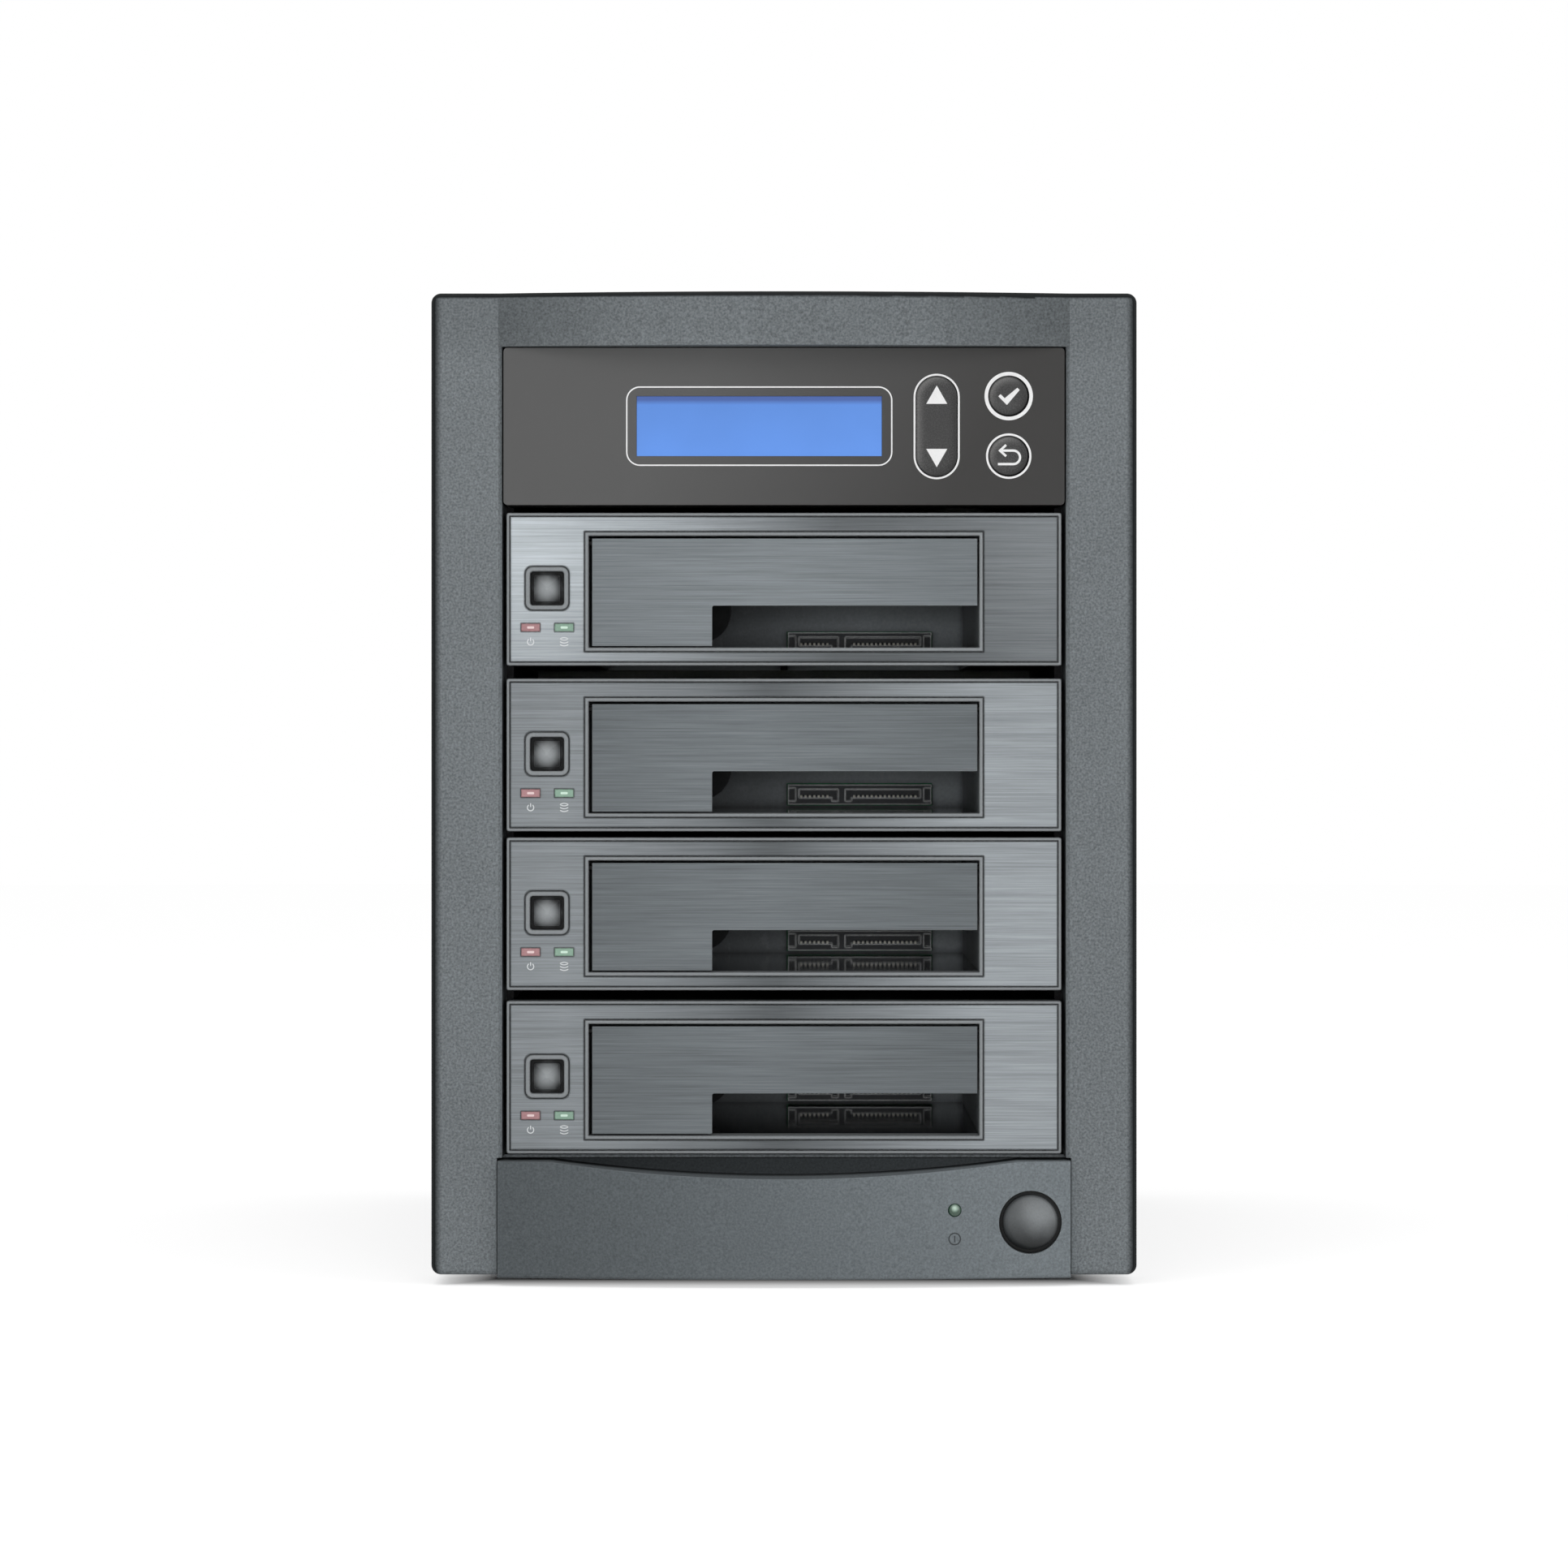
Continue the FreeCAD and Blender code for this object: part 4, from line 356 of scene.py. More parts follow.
# Each shared effect: its name, what it is made by, its inputs with their defaults, and its outputs
SHARED_EFFECTS = (
    ("Moulded grain", moulded_grain, {"Color": GREY, "Size": 0.5 * MM, "Contrast": 0.1, "Cloudiness": 0.04},
     ("Color", "Height", "Gloss")),
    ("Brushed lines", brushed_lines,
     {"Color": GREY, "Line": 0.2 * MM, "Stroke": 40 * MM, "Contrast": 0.2, "Drift": 0.05},
     ("Color", "Height", "Gloss")),
    ("Edge wear and light", edge_wear_and_light, {"Width": 0.4 * MM, "Amount": 0.2, "Breaks": 1.0}, ("Mask", "Normal")),
    ("Painted highlight spot", painted_highlight_spot, {"Across": 0.0, "Up": 0.0, "Reach": 4 * MM}, ("Mask",)),
    ("Shaded crevice", shaded_crevice, {"Reach": 1 * MM, "Open": 0.6, "Amount": 0.7}, ("Mask",)),
    ("Settled dust", settled_dust, {"Amount": 0.1}, ("Mask",)),
    ("Zinc bloom", zinc_bloom, {"Color": GREY, "Contrast": 0.06}, ("Color", "Gloss")),
)


def make_shared_effects():
    """A shader node group for each effect that more than one material uses."""
    for name, build, inputs, outputs in SHARED_EFFECTS:
        tree = bpy.data.node_groups.new(name, "ShaderNodeTree")
        for label, default in inputs.items():
            kind = SOCKET_KINDS.get(label, "NodeSocketFloat")
            tree.interface.new_socket(label, in_out="INPUT", socket_type=kind).default_value = default
        for label in outputs:
            kind = SOCKET_KINDS.get(label, "NodeSocketFloat")
            tree.interface.new_socket(label, in_out="OUTPUT", socket_type=kind)
        entry = tree.nodes.new("NodeGroupInput")
        leave = tree.nodes.new("NodeGroupOutput")
        for label, result in build(Graph(tree), entry.outputs).items():
            tree.links.new(result, leave.inputs[label])


# Finishes
def new_material(name):
    """An empty material: itself, its graph and the inputs of its Principled shader."""
    material = bpy.data.materials.new(name)
    material.use_nodes = True
    shader = material.node_tree.nodes["Principled BSDF"]
    return material, Graph(material.node_tree), shader.inputs


def rest_on_bump(graph, shader, height, depth, edge, strength=1.0):
    """Raises a texture on the surface and on its rounded edges."""
    bump = graph.node("Bump", Distance=depth, Strength=strength, Height=height, Normal=edge["Normal"])
    graph.feed(shader["Normal"], bump.outputs[0])


def grained(name, tint, *, grain=0.5 * MM, contrast=0.10, cloud=0.03, depth=0.04 * MM, rough=(0.50, 0.66),
            wear=0.15, breaks=1.0, soft=0.4 * MM, edge_tint=None, crevice=0.0, dust=0.0, specular=0.5,
            shading=None):
    """Moulded plastic, rubber or powder coat: its grain, its edges paler for wear and painted highlight or in
    a given tint, painted shade in its joints, and dust.
    """
    material, graph, shader = new_material(name)
    surface = graph.effect("Moulded grain", Color=tint, Size=grain, Contrast=contrast, Cloudiness=cloud)
    edge = graph.effect("Edge wear and light", Width=soft, Amount=wear, Breaks=breaks)
    # Edge colour: paler for wear and painted highlight, or a given tint, which on some mouldings is a painted
    # dark line of shade
    paler = edge_tint or tuple(min(1.0, 0.06 + 1.7 * part) for part in tint)
    result = graph.mix(edge["Mask"], surface["Color"], paler)
    if shading:
        result = shading(graph, result)
    if crevice > 0.0:
        # Painted shade in joints and inside corners
        crevice_shade = graph.effect("Shaded crevice", Reach=1.2 * MM, Open=0.6, Amount=crevice)["Mask"]
        result = graph.mix(crevice_shade, result, (0.006, 0.006, 0.007))
    if dust > 0.0:
        result = graph.mix(graph.effect("Settled dust", Amount=dust)["Mask"], result, (0.42, 0.41, 0.39))
    graph.feed(shader["Base Color"], result)
    smooth, dull = rough
    graph.feed(shader["Roughness"], graph.spread(surface["Gloss"], 0.0, 1.0, dull, smooth))
    shader["Specular IOR Level"].default_value = specular
    rest_on_bump(graph, shader, surface["Height"], depth, edge)
    return material


def brushed(name, tint, finish, drift, sheen, edge_tint, edge_width):
    """Brushed plate with a painted sheen, its edges in a colour of their own: a painted shadow line or a
    painted highlight.
    """
    material, graph, shader = new_material(name)
    lines = graph.effect("Brushed lines", Color=tint, Line=finish.line, Stroke=finish.stroke,
                         Contrast=finish.contrast, Drift=drift)
    edge = graph.effect("Edge wear and light", Width=edge_width, Amount=0.95, Breaks=0.1)
    # The sheen is painted light: a painted reflection, and on the doors painted shade too
    graph.feed(shader["Base Color"], sheen(graph, graph.mix(edge["Mask"], lines["Color"], edge_tint)))
    graph.feed(shader["Roughness"], graph.spread(lines["Gloss"], 0.0, 1.0, 0.46, 0.30))
    shader["Metallic"].default_value = 0.85
    rest_on_bump(graph, shader, lines["Height"], 0.012 * MM, edge, 0.6)
    return material


def plated(name, tint, contrast=0.06, rough=(0.34, 0.5), metal=1.0):
    """Zinc, nickel or gold plate."""
    material, graph, shader = new_material(name)
    bloom = graph.effect("Zinc bloom", Color=tint, Contrast=contrast)
    edge = graph.effect("Edge wear and light", Width=0.2 * MM, Amount=0.3)
    graph.feed(shader["Base Color"], graph.mix(edge["Mask"], bloom["Color"], (0.8, 0.8, 0.8)))
    graph.feed(shader["Roughness"], graph.spread(bloom["Gloss"], 0.0, 1.0, *rough))
    shader["Metallic"].default_value = metal
    graph.feed(shader["Normal"], edge["Normal"])
    return material


def printed(name, tint, rough=0.45):
    """Screen-printed ink, slightly uneven."""
    material, graph, shader = new_material(name)
    ink = graph.effect("Moulded grain", Color=tint, Size=0.3 * MM, Contrast=0.04, Cloudiness=0.02)
    graph.feed(shader["Base Color"], ink["Color"])
    graph.feed(shader["Roughness"], graph.spread(ink["Gloss"], 0.0, 1.0, rough, rough + 0.1))
    return material


def finish_nodes(material, *nodes):
    """Gives CAD pieces a material in their own slots."""
    for node in nodes:
        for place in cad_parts[node].material_slots:
            place.material = material


def of_each_rack(kind):
    return ["rack_%s_%s" % (name, kind) for name in RACKS]


# Mesh building
def new_piece(name, mesh, material, body):
    """A piece of the object from a finished bmesh, riding on one of its bodies."""
    bmesh.ops.recalc_face_normals(mesh, faces=mesh.faces)
    data = bpy.data.meshes.new(name)
    mesh.to_mesh(data)
    mesh.free()
    data.materials.append(material)
    piece = bpy.data.objects.new(name, data)
    bpy.context.scene.collection.objects.link(piece)
    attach(piece, body)
    return piece


def bridge(mesh, first, second):
    """Faces between two closed rows with as many points each."""
    for step in range(len(first)):
        follow = (step + 1) % len(first)
        mesh.faces.new((first[step], first[follow], second[follow], second[step]))


def add_plate(mesh, outline, front, thick):
    """A thin plate from points (across, up), from its front face towards the viewer by its thickness."""
    corners = [mesh.verts.new((across, front - thick, up)) for across, up in outline]
    edges = [mesh.edges.new((corners[step - 1], corners[step])) for step in range(len(corners))]
    filled = bmesh.ops.triangle_fill(mesh, use_beauty=True, edges=edges)["geom"]
    faces = [item for item in filled if isinstance(item, bmesh.types.BMFace)]
    raised = bmesh.ops.extrude_face_region(mesh, geom=faces, use_keep_orig=True)["geom"]
    back = [item for item in raised if isinstance(item, bmesh.types.BMVert)]
    bmesh.ops.translate(mesh, verts=back, vec=(0.0, thick, 0.0))


def ring_points(centre, width, tall, radius, corner_steps=10):
    """A rounded rectangle in the front view, or a circle where the radius is half the width."""
    radius = min(radius, width / 2 - HAIR)
    points = []
    for quarter, (side, rise) in enumerate(((1, -1), (1, 1), (-1, 1), (-1, -1))):
        hub = (centre[0] + side * (width / 2 - radius), centre[1] + rise * (tall / 2 - radius))
        for step in range(corner_steps + 1):
            angle = math.pi / 2 * (quarter - 1 + step / corner_steps)
            points.append((hub[0] + radius * math.cos(angle), hub[1] + radius * math.sin(angle)))
    return [spot for place, spot in enumerate(points) if math.dist(spot, points[place - 1]) > HAIR / 10]


def add_ring(mesh, outer, inner, back, thick):
    """A flat closed band between two loops with as many points each."""
    rows = []
    for loop, level in ((outer, back - thick), (inner, back - thick), (inner, back), (outer, back)):
        rows.append([mesh.verts.new((across, level, up)) for across, up in loop])
    for place, row in enumerate(rows):
        bridge(mesh, row, rows[(place + 1) % len(rows)])


def stroke_points(path, width):
    """The outline of a line of even width along a path of points, with square ends."""
    left = []
    right = []
    for place, spot in enumerate(path):
        before = Vector(path[max(place - 1, 0)])
        after = Vector(path[min(place + 1, len(path) - 1)])
        here = Vector(spot)
        run = (after - before).normalized()
        side = Vector((-run.y, run.x)) * (width / 2)
        if 0 < place < len(path) - 1:
            arriving = (here - before).normalized()
            side /= max(0.35, abs(run.dot(arriving)))
        left.append(tuple(here + side))
        right.append(tuple(here - side))
    return left + right[::-1]


def arc_path(centre, radius, start, finish, steps=12):
    """Points of an arc in the front view, between two angles in degrees."""
    spots = []
    for step in range(steps + 1):
        angle = math.radians(start + (finish - start) * step / steps)
        spots.append((centre[0] + radius * math.cos(angle), centre[1] + radius * math.sin(angle)))
    return spots


def scaled_points(points, centre):
    """Points in millimetres about a centre, as places in metres."""
    return [(centre[0] + MM * across, centre[1] + MM * up) for across, up in points]


def lay_on(mesh, node, lift=0.01 * MM):
    """Moves flat marks, made about the plane Y = 0, onto the front of a curved CAD piece."""
    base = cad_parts[node].data
    corners = [vert.co for vert in base.vertices]
    tree = BVHTree.FromPolygons(corners, [face.vertices for face in base.polygons])
    for vert in mesh.verts:
        hit = tree.ray_cast(Vector((vert.co.x, -1.0, vert.co.z)), Vector((0.0, 1.0, 0.0)))[0]
        if hit is None:
            raise RuntimeError("a mark misses the front of " + node)
        vert.co.y += hit.y - lift


def round_row(mesh, centre, radii, back):
    """Points round an axis along Y, one for each radius."""
    row = []
    for step, radius in enumerate(radii):
        angle = 2 * math.pi * step / len(radii)
        spot = (radius * math.cos(angle), back, radius * math.sin(angle))
        row.append(mesh.verts.new(centre + Vector(spot)))
    return row


def add_turned(mesh, centre, rows):
    """A turned shape about an axis along Y from rows of radii and how far back; gives its open last row."""
    rings = [round_row(mesh, centre, radii, back) for radii, back in rows]
    for first, second in zip(rings, rings[1:]):
        bridge(mesh, first, second)
    mesh.faces.new(rings[0][::-1])
    return rings[-1]


def add_cross_head(mesh, centre, width, crown, steps=24):
    """A pan head with a cross recess, facing the rear, its seat at the centre."""
    radius = width / 2
    blade = radius * 0.17
    arm = radius * 0.62
    rim = [(radius, 0.0), (radius, crown * 0.45), (radius * 0.92, crown * 0.8), (radius * 0.72, crown)]
    brow = add_turned(mesh, centre, [([reach] * steps, back) for reach, back in rim])
    cross = [(blade, arm), (blade, blade), (arm, blade), (arm, -blade), (blade, -blade), (blade, -arm),
             (-blade, -arm), (-blade, -blade), (-arm, -blade), (-arm, blade), (-blade, blade), (-blade, arm)]
    mouth = [mesh.verts.new(centre + Vector((across, crown, up))) for across, up in cross]
    pit = [mesh.verts.new(centre + Vector((0.8 * across, 0.25 * crown, 0.8 * up))) for across, up in cross]
    edges = []
    for row in (brow, mouth):
        for step in range(len(row)):
            pair = (row[step], row[(step + 1) % len(row)])
            edges.append(mesh.edges.get(pair) or mesh.edges.new(pair))
    bmesh.ops.triangle_fill(mesh, use_beauty=True, edges=edges)
    bridge(mesh, mouth, pit)
    mesh.faces.new(pit)


# Operators
class DressCase(bpy.types.Operator):
    """Give the front mouldings, the cover and the steel behind them their finishes"""

    bl_idname = "duplicator.dress_case"
    bl_label = "Dress the case"

    def execute(self, context):
        finish = context.scene.duplicator_case
        # The front mouldings' pale edges are partly wear and partly painted highlight along the bevels
        front = {"grain": finish.grain, "depth": finish.grain_depth, "rough": (0.60, 0.74),
                 "wear": finish.edge_wear_and_light, "soft": 0.6 * MM, "dust": finish.dust}
        bezel = grained("bezel_moulding", finish.bezel[:], contrast=0.36, cloud=0.06, specular=0.08,
                        shading=self.painted_edge_shade, **front)
        finish_nodes(bezel, "front_bezel")
        panel = grained("lower_panel_moulding", finish.lower_panel[:], contrast=0.22, cloud=0.05,
                        specular=0.12, shading=self.panel_painted_gradient, **front)
        finish_nodes(panel, "lower_panel")
        cap = grained("power_button_moulding", (0.236, 0.252, 0.260), contrast=0.08, depth=0.03 * MM,
                      rough=(0.26, 0.34), wear=0.0, specular=0.2, shading=self.button_highlight_and_shade)
        finish_nodes(cap, "power_button")
        paint = grained("powder_coat", finish.cover[:], grain=0.9 * MM, contrast=0.12, cloud=0.04,
                        depth=0.05 * MM, rough=(0.42, 0.6), wear=0.12, soft=0.5 * MM, dust=0.2)
        finish_nodes(paint, "cover")
        zinc = plated("zinc_plated_sheet", (0.50, 0.51, 0.52))
        finish_nodes(zinc, "base_tray", "rear_panel", "controller_tray", "psu_housing")
        # Partly a black coat on the steel behind the front, partly painted shade in the gaps between the
        # racks
        black = grained("black_coat_and_gap_shade", (0.012, 0.012, 0.013), grain=0.8 * MM, contrast=0.12,
                        cloud=0.04)
        finish_nodes(black, "front_frame", "bay_cage", "rack_top_covers")
        nickel = plated("nickel_plated_screws", (0.62, 0.61, 0.59), 0.04, (0.2, 0.32))
        finish_nodes(nickel, "rack_screws")
        rubber = grained("foot_rubber", (0.018, 0.018, 0.018), grain=0.8 * MM, contrast=0.15, cloud=0.05,
                         rough=(0.7, 0.85), wear=0.1, dust=0.1)
        finish_nodes(rubber, "rubber_feet")
        finish_nodes(self.light_lens(), "power_light")
        return {"FINISHED"}

    def painted_edge_shade(self, graph, tint):
        """Painted shade: nearly black round the outer brinks, dark on the outer sides and the top, a little
        darker on the top bar; pale and grained in front.
        """
        outward, _, upward = graph.facing()
        across, _, up = graph.parts(graph.place())
        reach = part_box("front_bezel")[1].x
        outwards = graph.maths("MAXIMUM", graph.times(graph.maths("SIGN", across), outward), upward)
        # Painted shade where the moulding turns away from the front and near its outer brinks
        turned = graph.spread(outwards, 0.10, 0.40)
        brink = graph.spread(graph.maths("ABSOLUTE", across), reach - 2.8 * MM, reach - 0.9 * MM)
        top_bar_shade = graph.spread(up, 245 * MM, 254 * MM, 1.0, 0.90)
        rounded = graph.mix(graph.maths("MAXIMUM", turned, brink), graph.scaled(tint, top_bar_shade),
                            (0.014, 0.016, 0.017))
        # Painted shade on faces that point outwards or up
        return graph.mix(graph.spread(outwards, 0.90, 0.97), rounded, (0.036, 0.039, 0.041))

    def panel_painted_gradient(self, graph, tint):
        """Painted light makes the panel paler towards the power button, and a painted shadow darkens the wall
        behind its scoop.
        """
        across, back, _ = graph.parts(graph.place())
        # Painted light across the bowed panel
        drift = graph.spread(across, -70 * MM, 60 * MM, 0.88, 1.66)
        scoop_painted_shadow = graph.spread(back, -160 * MM, -154 * MM, 1.0, 0.36)
        return graph.scaled(tint, graph.times(drift, scoop_painted_shadow))

    def button_highlight_and_shade(self, graph, tint):
        """A painted highlight above and right of the middle, painted shade below it and a nearly black
        painted shadow round the rim.
        """
        across, up = front_middle("power_button")
        _, above, away = graph.off_middle((across, up))
        # Painted highlight above and right of the middle
        painted_shine = graph.effect("Painted highlight spot", Across=across + 2.4 * MM, Up=up + 2.0 * MM, Reach=6.5 * MM)
        body = graph.spread(above, -6.0 * MM, 1.5 * MM, 0.11, 0.52)
        lit = graph.maths("MULTIPLY_ADD", graph.maths("POWER", painted_shine["Mask"], 1.6), 0.48, body)
        # Painted shadow of the well round the rim
        rim = graph.spread(away, 6.5 * MM, 7.7 * MM)
        return graph.mix(rim, graph.scaled(tint, lit), (0.008, 0.009, 0.009))

    def light_lens(self):
        """A green lens, darker green where its dome turns away from the view, with a painted highlight above
        its middle.
        """
        lens, graph, shader = new_material("power_light_lens")
        across, up = front_middle("power_light")
        depth_in = graph.node("LayerWeight", Blend=0.35).outputs["Facing"]
        green = graph.mix(depth_in, (0.024, 0.075, 0.042), (0.008, 0.026, 0.015))
        # Painted highlight above the lens's middle
        lens_shine = graph.effect("Painted highlight spot", Across=across, Up=up + 0.6 * MM, Reach=1.3 * MM)["Mask"]
        lit = graph.mix(graph.maths("POWER", lens_shine, 2.0), green, (0.46, 0.62, 0.51))
        graph.feed(shader["Base Color"], lit)
        shader["Roughness"].default_value = 0.12
        shader["Coat Weight"].default_value = 0.6
        return lens


class DressRacks(bpy.types.Operator):
    """Give the drive racks their brushed plates, moulded rims, chambers and lenses"""

    bl_idname = "duplicator.dress_racks"
    bl_label = "Dress the racks"

    # Heights between which the top rack's plate begins
    top_rack = (162.5 * MM, 163.5 * MM)

    def execute(self, context):
        finish = context.scene.duplicator_racks
        # The plates' dark edges are a painted shadow line against the rims, and the doors' pale edges a
        # painted highlight; both carry painted sheen
        plate = brushed("brushed_plate", finish.plate[:], finish, 0.05, self.plate_painted_sheen,
                        (0.020, 0.021, 0.022), 0.6 * MM)
        finish_nodes(plate, "rack_faceplates")
        door = brushed("brushed_door", finish.door[:], finish, 0.06, self.door_painted_sheen_and_shade,
                       (0.230, 0.245, 0.255), 0.2 * MM)
        finish_nodes(door, *of_each_rack("door"))
        # Dark edges along the rims and darkened joints: painted shade
        rim = grained("rack_moulding", finish.moulding[:], depth=0.03 * MM, rough=(0.34, 0.48), wear=1.0,
                      breaks=0.2, soft=0.5 * MM, edge_tint=finish.rim_edge_shade[:], crevice=0.95, specular=0.25)
        finish_nodes(rim, *of_each_rack("bezel"))
        lever = grained("lever_moulding", (0.020, 0.021, 0.022), depth=0.03 * MM, rough=(0.4, 0.55), wear=0.3)
        finish_nodes(lever, *of_each_rack("ejector"))
        for name in RACKS:
            finish_nodes(self.eject_cap(name), "rack_%s_eject_button" % name)
        finish_nodes(self.chamber_walls(finish), *of_each_rack("housing"))
        # Pale edges on the black arm: a painted highlight
        arm = grained("arm_moulding", (0.012, 0.013, 0.014), grain=0.6 * MM, contrast=0.08, cloud=0.04,
                      depth=0.02 * MM, rough=(0.30, 0.42), wear=0.6, soft=0.5 * MM,
                      edge_tint=(0.10, 0.11, 0.115), specular=0.2)
        finish_nodes(arm, *of_each_rack("guide_arm"))
        # Near-white edges: a painted highlight; darkened joints: painted shade
        connector = grained("connector_moulding", (0.034, 0.037, 0.040), grain=0.3 * MM, contrast=0.12,
                            depth=0.02 * MM, rough=(0.30, 0.42), wear=1.0, breaks=0.3, soft=0.7 * MM,
                            edge_tint=(0.94, 0.96, 0.97), crevice=0.5)
        finish_nodes(connector, "sata_connectors")
        # Dark edges round the lenses: painted shade
        for node, tint in (("red_lenses", finish.red[:]), ("green_lenses", finish.green[:])):
            lens = grained(node[:-2] + "_plastic", tint, grain=0.6 * MM, contrast=0.08, cloud=0.12,
                           depth=0.01 * MM, rough=(0.22, 0.36), wear=1.0, soft=0.55 * MM,
                           edge_tint=(0.060, 0.066, 0.066))
            finish_nodes(lens, node)
        return {"FINISHED"}

    def plate_painted_sheen(self, graph, tint):
        """Painted sheen: darkest above and below the doors and palest at the ends; the top rack's left end is
        brightest.
        """
        across, _, up = graph.parts(graph.place())
        off_middle = graph.maths("ABSOLUTE", graph.maths("ADD", across, 3 * MM))
        valley = graph.spread(off_middle, 2 * MM, 56 * MM, 0.36, 1.0)
        left_end = graph.spread(across, -68 * MM, -20 * MM, 0.74, 1.0)
        bright_left = graph.times(graph.spread(across, -64 * MM, 14 * MM, 1.56, 0.42),
                                  graph.spread(up, 166 * MM, 192 * MM, 0.76, 1.0))
        soft_right = graph.spread(across, 28 * MM, 70 * MM, 0.0, 0.24)
        sheen = graph.between(graph.spread(up, *self.top_rack), graph.times(valley, left_end),
                              graph.maths("ADD", bright_left, soft_right))
        return graph.scaled(tint, sheen)

    def door_painted_sheen_and_shade(self, graph, tint):
        """Painted sheen: a soft paler patch across the middle and a paler door in the top rack; painted shade
        makes the pivots at the ends nearly black.
        """
        across, _, up = graph.parts(graph.place())
        low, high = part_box("rack_one_door")
        off_middle = graph.maths("ABSOLUTE", graph.maths("ADD", across, 6 * MM))
        patch = graph.spread(off_middle, 0.0, 46 * MM, 1.08, 0.90)
        face = graph.scaled(tint, graph.times(patch, graph.spread(up, *self.top_rack, 1.0, 1.28)))
        # Painted shade over the pivots, where the gaps at the door's ends lie
        left_pivot_shade = graph.maths("LESS_THAN", across, low.x + 2.28 * MM)
        right_pivot_shade = graph.maths("GREATER_THAN", across, high.x - 1.88 * MM)
        return graph.mix(graph.maths("ADD", left_pivot_shade, right_pivot_shade, clamp=True), face, (0.008, 0.008, 0.008))

    def eject_cap(self, name):
        """Nearly black gloss with a painted highlight round the peak of the pyramid, paler edges as painted
        highlight and painted shade in its joints.
        """
        across, up = front_middle("rack_%s_eject_button" % name)
        material, graph, shader = new_material("eject_cap_" + name)
        # Painted highlight round the peak
        painted_shine = graph.effect("Painted highlight spot", Across=across, Up=up, Reach=4.6 * MM)["Mask"]
        shade = graph.mix(graph.maths("POWER", painted_shine, 1.8), (0.005, 0.0055, 0.006), (0.330, 0.350, 0.360))
        skin = graph.effect("Moulded grain", Color=shade, Size=0.3 * MM, Contrast=0.06, Cloudiness=0.03)
        edge = graph.effect("Edge wear and light", Width=0.25 * MM, Amount=0.35)
        crevice_shade = graph.effect("Shaded crevice", Reach=1.2 * MM, Open=0.6, Amount=0.9)["Mask"]
        highlighted_edges = graph.mix(edge["Mask"], skin["Color"], (0.20, 0.21, 0.22))
        graph.feed(shader["Base Color"], graph.mix(crevice_shade, highlighted_edges, (0.003, 0.003, 0.003)))
        shader["Specular IOR Level"].default_value = 0.16
        graph.feed(shader["Roughness"], graph.spread(skin["Gloss"], 0.0, 1.0, 0.34, 0.26))
        graph.feed(shader["Normal"], edge["Normal"])
        return material

    def chamber_walls(self, finish):
        """Half-gloss walls with painted light growing towards the right, scuffed by drives, over a floor
        polished by them, with painted shade in the corners.
        """
        material, graph, shader = new_material("chamber_moulding")
        surface = graph.effect("Moulded grain", Color=finish.chamber[:], Size=0.7 * MM, Contrast=0.10,
                               Cloudiness=0.16)
        across, _, _ = graph.parts(graph.place())
        # Painted light, paler towards the right
        walls = graph.scaled(surface["Color"], graph.spread(across, -20 * MM, 52 * MM, 0.75, 1.70))
        scuffs = graph.spread(graph.noise(graph.place(), 240.0, 4.0, 0.7), 0.60, 0.66, 0.0, 0.35)
        scuffed = graph.mix(scuffs, walls, (0.20, 0.21, 0.22))
        lying = graph.spread(graph.facing()[2], 0.5, 0.9)
        tint = graph.mix(lying, scuffed, finish.chamber_floor[:])
        # Painted shade in the corners and joints
        crevice_shade = graph.effect("Shaded crevice", Reach=2.5 * MM, Open=0.88, Amount=1.0)["Mask"]
        graph.feed(shader["Base Color"], graph.mix(crevice_shade, tint, (0.004, 0.004, 0.004)))
        shader["Specular IOR Level"].default_value = 0.35
        graph.feed(shader["Roughness"], graph.spread(lying, 0.0, 1.0, 0.34, 0.05))
        return material


